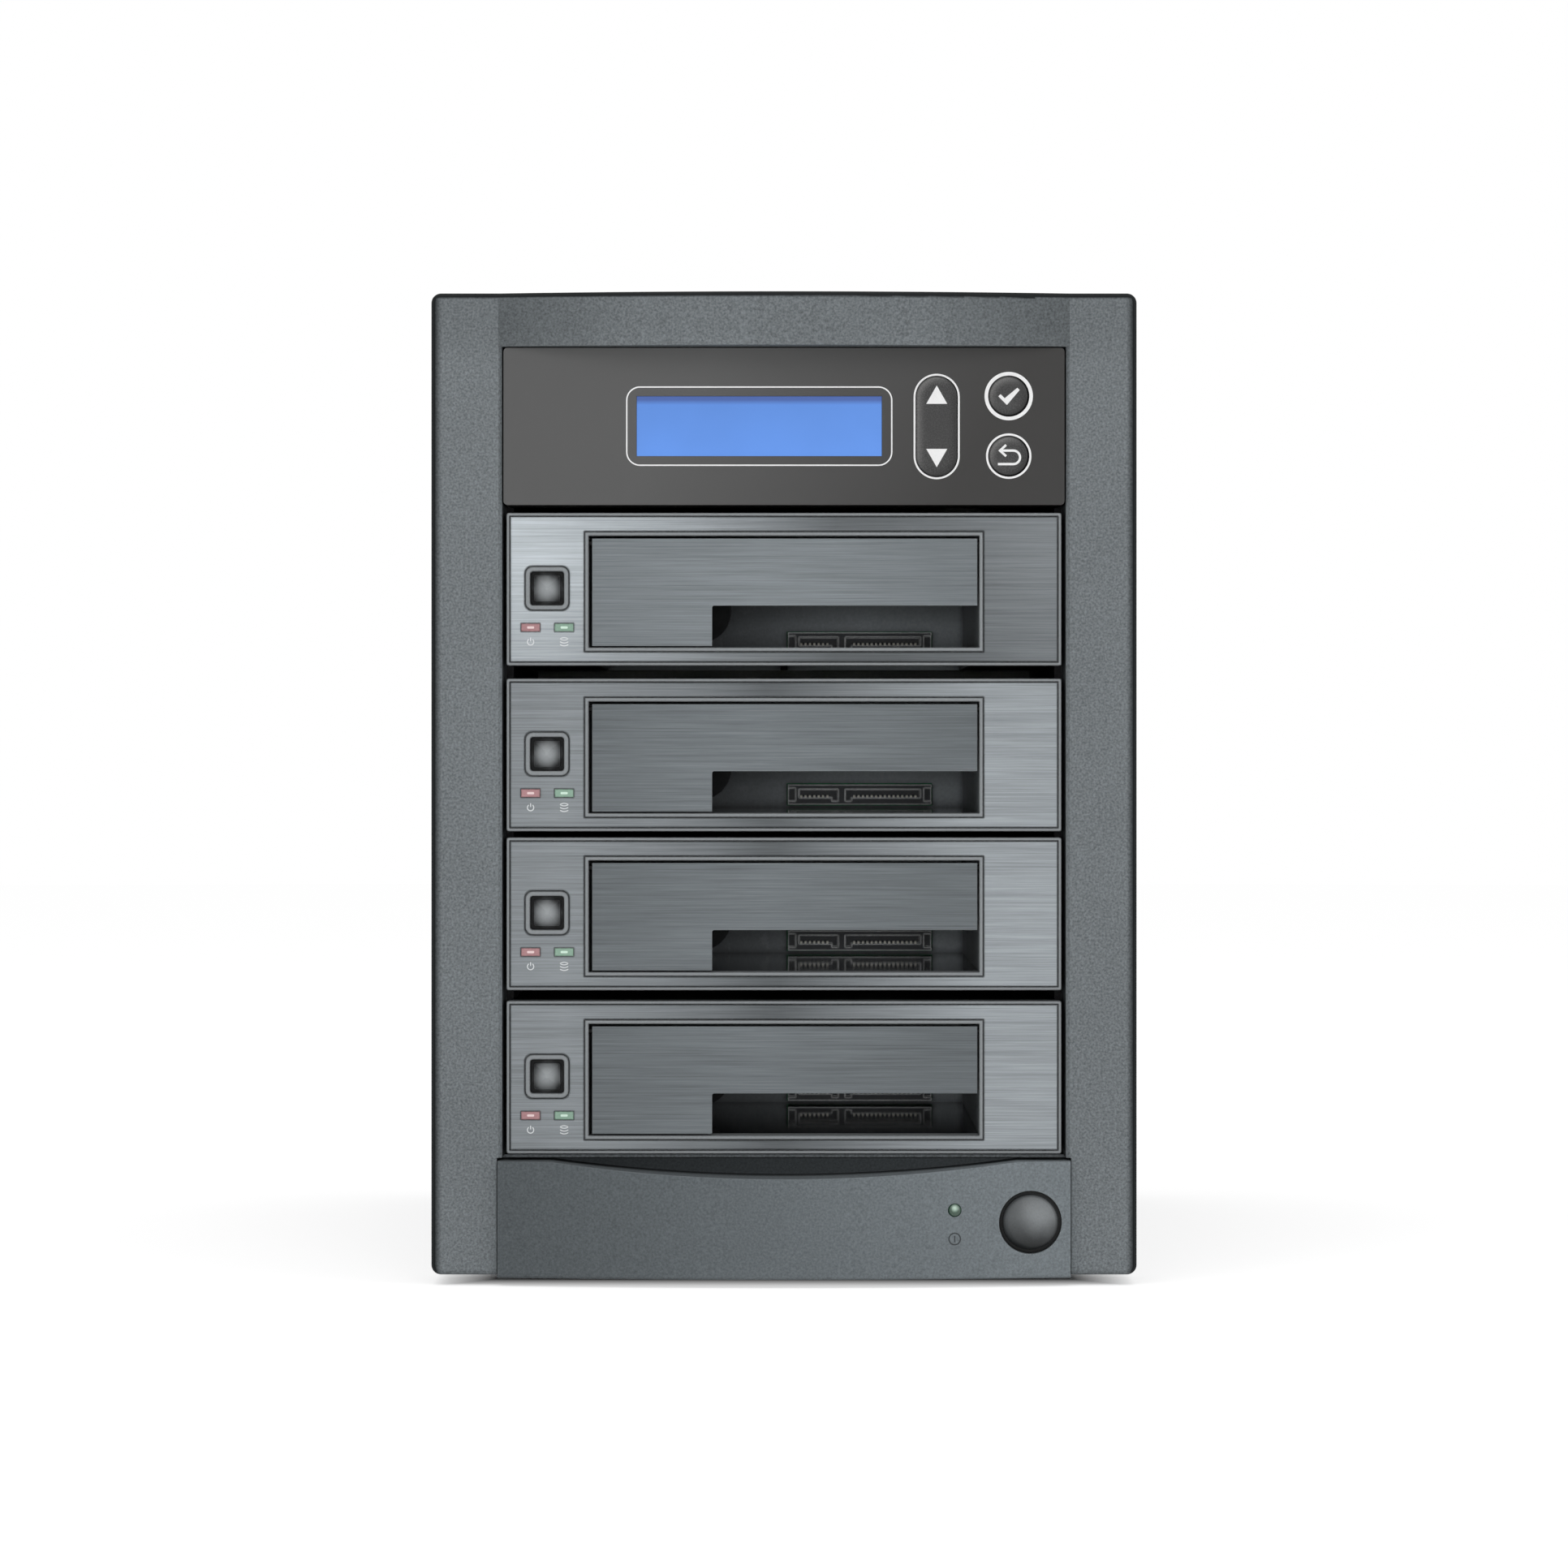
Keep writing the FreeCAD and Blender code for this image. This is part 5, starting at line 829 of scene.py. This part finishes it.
class DressControls(bpy.types.Operator):
    """Give the control panel, its keys and its display their finishes"""

    bl_idname = "duplicator.dress_controls"
    bl_label = "Dress the controls"

    # How far to the right the edge of the panel's painted reflection leans for each step up
    slant = 0.6

    def execute(self, context):
        finish = context.scene.duplicator_controls
        finish_nodes(self.panel_film(finish), "control_panel")
        for key in KEY_OPENINGS:
            finish_nodes(self.key_cap(key, finish.key[:]), key)
        finish_nodes(self.lit_display(finish), "display_window")
        finish_nodes(self.solder_mask(), "front_board", "controller_board", "backplane_boards", "psu_board")
        black = grained("black_moulding", (0.020, 0.020, 0.021), contrast=0.08, depth=0.03 * MM,
                        rough=(0.4, 0.55), wear=0.2, dust=0.05)
        finish_nodes(black, "power_switch", "power_inlet", "inlet_rocker", "fan_frames", "psu_fan_rotor",
                     "case_fan_rotor")
        chrome = plated("guard_wire", (0.66, 0.66, 0.66), 0.03, (0.16, 0.26))
        finish_nodes(chrome, "psu_fan_guard")
        return {"FINISHED"}

    def panel_film(self, finish):
        """A smooth film with a painted reflection that darkens along a slanted line towards the right."""
        film, graph, shader = new_material("control_panel_film")
        across, _, up = graph.parts(graph.place())
        above_middle = graph.less(up, middle_of("control_panel").z)
        slanted = graph.less(across, graph.times(above_middle, self.slant))
        shade = graph.mix(graph.spread(slanted, -30 * MM, 55 * MM), finish.left[:], finish.right[:])
        skin = graph.effect("Moulded grain", Color=shade, Size=0.3 * MM, Contrast=0.025, Cloudiness=0.02)
        edge = graph.effect("Edge wear and light", Width=0.3 * MM, Amount=0.0)
        graph.feed(shader["Base Color"], skin["Color"])
        graph.feed(shader["Roughness"], graph.spread(skin["Gloss"], 0.0, 1.0, 0.44, 0.36))
        shader["Specular IOR Level"].default_value = 0.3
        graph.feed(shader["Normal"], edge["Normal"])
        return film

    def key_cap(self, key, tint):
        """Dark plastic with a painted rim of light and shade: paler towards its upper left and darker towards
        its lower right.
        """
        wide, tall = KEY_OPENINGS[key]
        half = wide / 2

        def rim_light_and_shade(graph, shade):
            aside, above, away = graph.off_middle(front_middle(key), (tall - wide) / 2)
            rim = graph.spread(away, half - 2.6 * MM, half - 0.6 * MM)
            # Painted highlight on the upper left of the rim and painted shade on the lower right
            light_side = graph.times(rim, graph.maths("DIVIDE", graph.less(above, aside), 1.4 * half))
            paler = graph.mix(graph.spread(light_side, 0.0, 0.7), shade, (0.125, 0.124, 0.122))
            return graph.mix(graph.spread(light_side, 0.0, -0.7), paler, (0.007, 0.007, 0.007))

        return grained(key + "_moulding", tint, grain=0.4 * MM, contrast=0.03, cloud=0.02, depth=0.002 * MM,
                       rough=(0.22, 0.32), wear=0.1, soft=0.6 * MM, shading=rim_light_and_shade)

    def lit_display(self, finish):
        """A blue backlit display, shaded along its top."""
        low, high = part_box("display_window")
        material, graph, shader = new_material("backlit_display")
        up = graph.spread(graph.parts(graph.place())[2], low.z, high.z)
        paler = tuple(min(1.0, 1.12 * part) for part in finish.display)
        body = graph.mix(graph.spread(up, 0.0, 0.8), paler, finish.display[:])
        shaded = graph.mix(graph.spread(up, 0.86, 0.94), body, finish.display_top[:])
        uneven = graph.spread(graph.noise(graph.place(), 45.0), out_low=0.96, out_high=1.04)
        lit = graph.scaled(shaded, uneven)
        graph.feed(shader["Base Color"], graph.scaled(lit, 0.35))
        graph.feed(shader["Emission Color"], lit)
        shader["Emission Strength"].default_value = 0.58
        shader["Roughness"].default_value = 0.16
        return material

    def solder_mask(self):
        """Green solder mask with darker bands of copper tracks under it."""
        material, graph, shader = new_material("solder_mask")
        across, back, up = graph.parts(graph.place())
        stretched = graph.vector(graph.times(across, 700.0), graph.times(back, 60.0), graph.times(up, 60.0))
        lines = graph.spread(graph.noise(stretched, 1.0, 1.0), 0.48, 0.52)
        graph.feed(shader["Base Color"], graph.mix(lines, (0.010, 0.080, 0.035), (0.016, 0.115, 0.050)))
        graph.feed(shader["Roughness"], graph.spread(lines, 0.0, 1.0, 0.28, 0.36))
        return material


class PrintPanelMarks(bpy.types.Operator):
    """Print the display's outline and the rings and marks of the keys"""

    bl_idname = "duplicator.print_panel_marks"
    bl_label = "Print the panel's marks"

    # Width, height and corner radius of the outline round the display
    outline_size = (71.0 * MM, 21.2 * MM, 3.7 * MM)
    # Width of each key's ring and how far it stands out from the panel
    rings = {
        "confirm_key": (0.95 * MM, 0.16 * MM),
        "return_key": (0.55 * MM, 0.08 * MM),
        "up_down_key": (0.50 * MM, 0.08 * MM),
    }
    thickness = 0.05 * MM
    # How much further forward each next part of a mark lies
    part_step = 0.004 * MM

    def execute(self, context):
        finish = context.scene.duplicator_controls
        self.ink = printed("white_ink", finish.printed[:])
        self.outline_display(finish.outline)
        self.ring_keys()
        self.mark_keys()
        return {"FINISHED"}

    def outline_display(self, stroke):
        centre = front_middle("display_window")
        wide, tall, radius = self.outline_size
        mesh = bmesh.new()
        outer = ring_points(centre, wide, tall, radius)
        inner = ring_points(centre, wide - 2 * stroke, tall - 2 * stroke, radius - stroke)
        add_ring(mesh, outer, inner, PANEL_FRONT, self.thickness)
        new_piece("display_outline", mesh, self.ink, "case")

    def ring_keys(self):
        """White rings on the panel round the key openings; the confirm key's is the widest."""
        for key, (stroke, thick) in self.rings.items():
            centre = front_middle(key)
            wide, tall = KEY_OPENINGS[key]
            mesh = bmesh.new()
            both = 2 * stroke
            outer = ring_points(centre, wide + both, tall + both, (wide + both) / 2, 16)
            inner = ring_points(centre, wide, tall, wide / 2, 16)
            add_ring(mesh, outer, inner, PANEL_FRONT, thick)
            new_piece(key + "_ring", mesh, self.ink, "case")

    def mark_keys(self):
        """A tick on the confirm key, a turned-back arrow on the return key, triangles on the long key."""
        tick = stroke_points([(-2.5, 0.2), (-0.8, -1.5), (2.6, 1.9)], 0.85)
        self.mark("confirm_key", [tick])
        hook = [(-1.9, 1.45), *arc_path((1.2, -0.35), 1.8, 90, -90, 14), (-2.9, -2.15)]
        head = [(-0.7, 2.95), (-2.35, 1.45), (-0.7, -0.05)]
        self.mark("return_key", [stroke_points(hook, 0.62), stroke_points(head, 0.62)])
        up = [(-2.8, 6.0), (2.8, 6.0), (0.0, 10.9)]
        down = [(-2.8, -6.0), (0.0, -10.9), (2.8, -6.0)]
        self.mark("up_down_key", [up, down])

    def mark(self, key, outlines):
        """Lays a key's mark on its curved front; parts that cross differ a little in height."""
        mesh = bmesh.new()
        for place, outline in enumerate(outlines):
            places = scaled_points(outline, front_middle(key))
            add_plate(mesh, places, -self.part_step * place, self.thickness)
        bmesh.ops.subdivide_edges(mesh, edges=mesh.edges, cuts=2, use_grid_fill=True)
        lay_on(mesh, key)
        new_piece(key + "_mark", mesh, self.ink, key)


class PrintRackMarks(bpy.types.Operator):
    """Print the small signs under the racks' lenses and lay painted highlights on the lenses"""

    bl_idname = "duplicator.print_rack_marks"
    bl_label = "Print the racks' marks"

    # Places of the signs and of the painted lens highlights from a rack's lower left corner
    sign_up = 6.3 * MM
    power_sign_across = 6.4 * MM
    drum_sign_across = 15.35 * MM
    glint_up = 10.15 * MM
    # Width, height and corner radius of a painted lens highlight
    glint_size = (1.9 * MM, 0.62 * MM, 0.25 * MM)
    thickness = 0.03 * MM

    def execute(self, context):
        ink = printed("grey_ink", (0.66, 0.68, 0.69))
        mesh = bmesh.new()
        for name in RACKS:
            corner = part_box("rack_%s_bezel" % name)[0]
            up = corner.z + self.sign_up
            self.power_sign(mesh, (corner.x + self.power_sign_across, up))
            self.drum_sign(mesh, (corner.x + self.drum_sign_across, up))
        new_piece("rack_signs", mesh, ink, "case")
        self.light_elements()
        return {"FINISHED"}

    def sign_line(self, mesh, path, width, centre):
        outline = scaled_points(stroke_points(path, width), centre)
        add_plate(mesh, outline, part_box("rack_faceplates")[0].y, self.thickness)

    def power_sign(self, mesh, centre):
        """An open ring with a bar in its gap."""
        self.sign_line(mesh, arc_path((0.0, 0.0), 0.85, 125, 415, 16), 0.26, centre)
        self.sign_line(mesh, [(0.0, 0.15), (0.0, 1.15)], 0.26, centre)

    def drum_sign(self, mesh, centre):
        """A flat drum: three lines bowed downwards under one bowed upwards."""
        for level in (0.75, 0.0, -0.75):
            self.sign_line(mesh, arc_path((0.0, level + 1.6), 1.9, 235, 305, 8), 0.24, centre)
        self.sign_line(mesh, arc_path((0.0, -0.75), 1.9, 125, 55, 8), 0.24, centre)

    def light_elements(self):
        """A painted highlight in the middle of each lens, as a small pale plate."""
        for node, tint in (("red_lenses", (0.82, 0.64, 0.64)), ("green_lenses", (0.66, 0.84, 0.72))):
            mesh = bmesh.new()
            across = middle_of(node).x
            for name in RACKS:
                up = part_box("rack_%s_bezel" % name)[0].z + self.glint_up
                outline = ring_points((across, up), *self.glint_size, 4)
                add_plate(mesh, outline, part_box(node)[0].y, self.thickness)
            lens = node[:-2]
            new_piece(lens + "_elements", mesh, printed(lens + "_glint_ink", tint, 0.3), "case")


class EngravePowerSign(bpy.types.Operator):
    """Lay the painted shade of the engraved circle with a bar under the power light"""

    bl_idname = "duplicator.engrave_power_sign"
    bl_label = "Engrave the power sign"

    # Height of the sign's middle above the floor, and the widths of its ring outside and inside
    middle_up = 13.0 * MM
    outside = 3.4 * MM
    inside = 2.7 * MM
    thickness = 0.03 * MM

    def execute(self, context):
        shade = printed("engraved_shade", (0.035, 0.040, 0.043), 0.6)
        centre = middle_of("power_light").x, self.middle_up
        mesh = bmesh.new()
        outer = ring_points(centre, self.outside, self.outside, self.outside / 2)
        inner = ring_points(centre, self.inside, self.inside, self.inside / 2)
        add_ring(mesh, outer, inner, 0.0, self.thickness)
        bar = stroke_points([(0.0, -0.85), (0.0, 0.85)], 0.34)
        add_plate(mesh, scaled_points(bar, centre), 0.0, self.thickness)
        lay_on(mesh, "lower_panel")
        new_piece("power_sign", mesh, shade, "case")
        return {"FINISHED"}


class FitContacts(bpy.types.Operator):
    """Fit the rows of plated contacts in the drive connectors"""

    bl_idname = "duplicator.fit_contacts"
    bl_label = "Fit the contacts"

    # The data row and the power row: millimetres from the connector's left end, and contacts
    rows = ((3.85, 7), (19.25, 15))
    # Millimetres between neighbours and to each side of a contact's middle
    pitch = 1.27
    half_width = 0.32
    # Height of the slots above a rack's lower edge
    slot_up = 7.7 * MM
    # A sprung strip from the side in millimetres: it rises towards its middle and dips at the tip
    profile = ((0.5, 0.12), (1.0, 0.62), (1.6, 0.78), (4.9, 0.30), (4.9, 0.05), (1.6, 0.5), (1.0, 0.35),
               (0.5, 0.0))

    def execute(self, context):
        gold = plated("plated_contacts", (0.92, 0.90, 0.82), 0.05, (0.25, 0.35), metal=0.10)
        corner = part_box("sata_connectors")[0]
        mesh = bmesh.new()
        for name in RACKS:
            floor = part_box("rack_%s_bezel" % name)[0].z + self.slot_up
            for first, count in self.rows:
                for place in range(count):
                    across = corner.x + (first + self.pitch * place) * MM
                    self.contact(mesh, Vector((across, corner.y, floor)))
        new_piece("connector_contacts", mesh, gold, "case")
        return {"FINISHED"}

    def contact(self, mesh, foot):
        sides = []
        for side in (-self.half_width, self.half_width):
            outline = [foot + MM * Vector((side, back, rise)) for back, rise in self.profile]
            sides.append([mesh.verts.new(spot) for spot in outline])
        bridge(mesh, *sides)
        mesh.faces.new(sides[0])
        mesh.faces.new(sides[1][::-1])


class FitFasteners(bpy.types.Operator):
    """Fit knurled thumbscrews and the small cross-head screws at the rear"""

    bl_idname = "duplicator.fit_fasteners"
    bl_label = "Fit the fasteners"

    # A thumbscrew's outline: millimetres of radius and of height above its washer's seat
    thumbscrew = ((1.75, -8.0), (1.75, 0.0), (4.25, 0.0), (4.25, 1.5), (4.7, 1.6), (5.0, 2.0), (5.0, 6.0),
                  (4.7, 6.4), (4.1, 7.0), (3.3, 7.0), (3.0, 6.6), (0.6, 6.6))
    head_radius = 5.0 * MM
    # The radius in millimetres beyond which it is knurled, and the knurls' depth as a share of the radius
    knurled_from = 4.6
    knurl_depth = 0.07
    seat = 1.0 * MM
    # From a fan's middle to its screws, across and up
    fan_screw_step = 35.75 * MM
    guard_thickness = 0.6 * MM

    def execute(self, context):
        sizes = context.scene.duplicator_fasteners
        nickel = plated("nickel_plated_heads", (0.60, 0.59, 0.57), 0.04, (0.22, 0.34))
        self.thumbscrews(sizes, nickel)
        self.rear_screws(sizes, nickel)
        return {"FINISHED"}

    def thumbscrew_rows(self, knurls):
        """The outline turned round: each ridge has two points out and two points in."""
        rows = []
        for radius, back in self.thumbscrew:
            depth = self.knurl_depth if radius > self.knurled_from else 0.0
            radii = [radius * MM * (1.0 - depth * (step % 4 in (0, 3))) for step in range(4 * knurls)]
            rows.append((radii, back * MM))
        return rows

    def thumbscrews(self, sizes, nickel):
        low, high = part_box("cover_thumbscrews")
        rows = self.thumbscrew_rows(sizes.knurls)
        mesh = bmesh.new()
        for across in (low.x + self.head_radius, high.x - self.head_radius):
            for up in (low.z + self.head_radius, high.z - self.head_radius):
                mesh.faces.new(add_turned(mesh, Vector((across, REAR_PLANE + self.seat, up)), rows))
        piece = new_piece("thumbscrew_knurled", mesh, nickel, "case")
        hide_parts("cover_thumbscrews")

    def rear_screws(self, sizes, nickel):
        """Screws of the case fan, and of the power supply's fan and its guard."""
        fans = ((front_middle("case_fan_rotor"), REAR_PLANE),
                (front_middle("psu_fan_guard"), REAR_PLANE + self.guard_thickness))
        mesh = bmesh.new()
        for side in (-self.fan_screw_step, self.fan_screw_step):
            for rise in (-self.fan_screw_step, self.fan_screw_step):
                for (across, up), back in fans:
                    seat = Vector((across + side, back, up + rise))
                    add_cross_head(mesh, seat, sizes.screw_head, sizes.screw_crown)
        new_piece("rear_screws", mesh, nickel, "case")


class SetStage(bpy.types.Operator):
    """Set the pale floor, the soft lamps and the camera"""

    bl_idname = "duplicator.set_stage"
    bl_label = "Set the stage"

    # What the lamps point at: the middle of the tower
    target = Vector((0.0, 0.0, 0.13))
    # Half widths and half depths between which the floor's glow begins beside the case's bottom
    glow_beside = (78 * MM, 94 * MM)
    glow_before = (142 * MM, 162 * MM)

    def execute(self, context):
        stage = context.scene.duplicator_stage
        self.lay_floor(context, stage)
        self.light(context, stage)
        self.aim_camera(context, stage)
        context.scene.view_settings.view_transform = "Standard"
        return {"FINISHED"}

    def seen_rays(self, graph):
        """One for the rays that see the background: straight, in metal and through glass."""
        rays = graph.node("LightPath").outputs
        straight_or_gloss = graph.maths("ADD", rays["Is Camera Ray"], rays["Is Glossy Ray"])
        return graph.maths("ADD", straight_or_gloss, rays["Is Transmission Ray"], clamp=True)

    def lay_floor(self, context, stage):
        """A round floor that looks white beside the case, keeps its shadow and doesn't glow under it."""
        mesh = bmesh.new()
        bmesh.ops.create_circle(mesh, cap_ends=True, segments=64, radius=stage.floor_size / 2)
        data = bpy.data.meshes.new("floor")
        mesh.to_mesh(data)
        mesh.free()
        floor = bpy.data.objects.new("floor", data)
        context.scene.collection.objects.link(floor)
        material, graph, shader = new_material("studio_floor")
        cloudy = graph.spread(graph.noise(graph.place(), 2.0), 0.0, 1.0, 0.99, 1.0)
        graph.feed(shader["Base Color"], graph.scaled(stage.floor[:], cloudy))
        shader["Roughness"].default_value = 0.9
        shader["Specular IOR Level"].default_value = 0.0
        shader["Emission Strength"].default_value = 1.0
        across, back, _ = graph.parts(graph.place())
        beside = graph.spread(graph.maths("ABSOLUTE", across), *self.glow_beside)
        before = graph.spread(graph.maths("ABSOLUTE", back), *self.glow_before)
        open_floor = graph.maths("MAXIMUM", beside, before)
        glow = graph.times(self.seen_rays(graph), stage.floor_glow, open_floor)
        graph.feed(shader["Emission Color"], graph.scaled((1.0, 1.0, 1.0), glow))
        data.materials.append(material)

    def light(self, context, stage):
        world = bpy.data.worlds.new("studio")
        context.scene.world = world
        world.use_nodes = True
        graph = Graph(world.node_tree)
        background = world.node_tree.nodes["Background"].inputs
        background["Color"].default_value = (1.0, 1.0, 1.0, 1.0)
        graph.feed(background["Strength"], graph.spread(self.seen_rays(graph), 0.0, 1.0, stage.sky, 1.0))
        self.lamp(context, "key_lamp", (-0.25, -1.5, 1.35), (1.6, 0.9), stage.key_light)
        self.lamp(context, "side_lamp", (1.5, -0.9, 0.6), (0.8, 1.2), stage.side_light)
        front = self.lamp(context, "front_lamp", (0.0, -2.3, 0.15), (0.9, 0.14), stage.front_light)
        front.visible_glossy = False

    def lamp(self, context, name, place, size, watts):
        """A soft rectangular lamp that points at the tower."""
        data = bpy.data.lights.new(name, "AREA")
        data.shape = "RECTANGLE"
        data.size, data.size_y = size
        data.energy = watts
        lamp = bpy.data.objects.new(name, data)
        lamp.location = place
        lamp.rotation_euler = (self.target - Vector(place)).to_track_quat("-Z", "Y").to_euler()
        context.scene.collection.objects.link(lamp)
        return lamp

    def aim_camera(self, context, stage):
        """A level camera before the middle of the front, shifted so that the picture's middle is right."""
        data = bpy.data.cameras.new("front_camera")
        data.lens = data.sensor_width * stage.distance / stage.view
        data.shift_y = (stage.middle - stage.height) / stage.view
        camera = bpy.data.objects.new("front_camera", data)
        camera.location = (0.0, PANEL_FRONT - stage.distance, stage.height)
        camera.rotation_euler = (math.pi / 2, 0.0, 0.0)
        context.scene.collection.objects.link(camera)
        context.scene.camera = camera


OPERATORS = (DressCase, DressRacks, DressControls, PrintPanelMarks, PrintRackMarks, EngravePowerSign,
             FitContacts, FitFasteners, SetStage)
SETTINGS = {
    "duplicator_case": CaseFinish,
    "duplicator_racks": RackFinish,
    "duplicator_controls": ControlFinish,
    "duplicator_fasteners": FastenerSettings,
    "duplicator_stage": StageSettings,
}


class DuplicatorPanel(bpy.types.Panel):
    """The steps that dress the tower, in the order they are run, and their settings"""

    bl_idname = "VIEW3D_PT_duplicator"
    bl_label = "Drive Duplicator Tower"
    bl_space_type = "VIEW_3D"
    bl_region_type = "UI"
    bl_category = "Duplicator"

    def draw(self, context):
        for operator in OPERATORS:
            self.layout.operator(operator.bl_idname)
        for name, group in SETTINGS.items():
            box = self.layout.box()
            for prop in group.__annotations__:
                box.prop(getattr(context.scene, name), prop)


def register():
    for item in (*SETTINGS.values(), *OPERATORS, DuplicatorPanel):
        bpy.utils.register_class(item)
    for name, group in SETTINGS.items():
        setattr(bpy.types.Scene, name, PointerProperty(type=group))


def unregister():
    for name in SETTINGS:
        delattr(bpy.types.Scene, name)
    for item in (DuplicatorPanel, *reversed(OPERATORS), *reversed(SETTINGS.values())):
        bpy.utils.unregister_class(item)


def main():
    register()
    make_shared_effects()
    bpy.ops.duplicator.dress_case()
    bpy.ops.duplicator.dress_racks()
    bpy.ops.duplicator.dress_controls()
    bpy.ops.duplicator.print_panel_marks()
    bpy.ops.duplicator.print_rack_marks()
    bpy.ops.duplicator.engrave_power_sign()
    bpy.ops.duplicator.fit_contacts()
    bpy.ops.duplicator.fit_fasteners()
    bpy.ops.duplicator.set_stage()


if __name__ == "__main__":
    main()
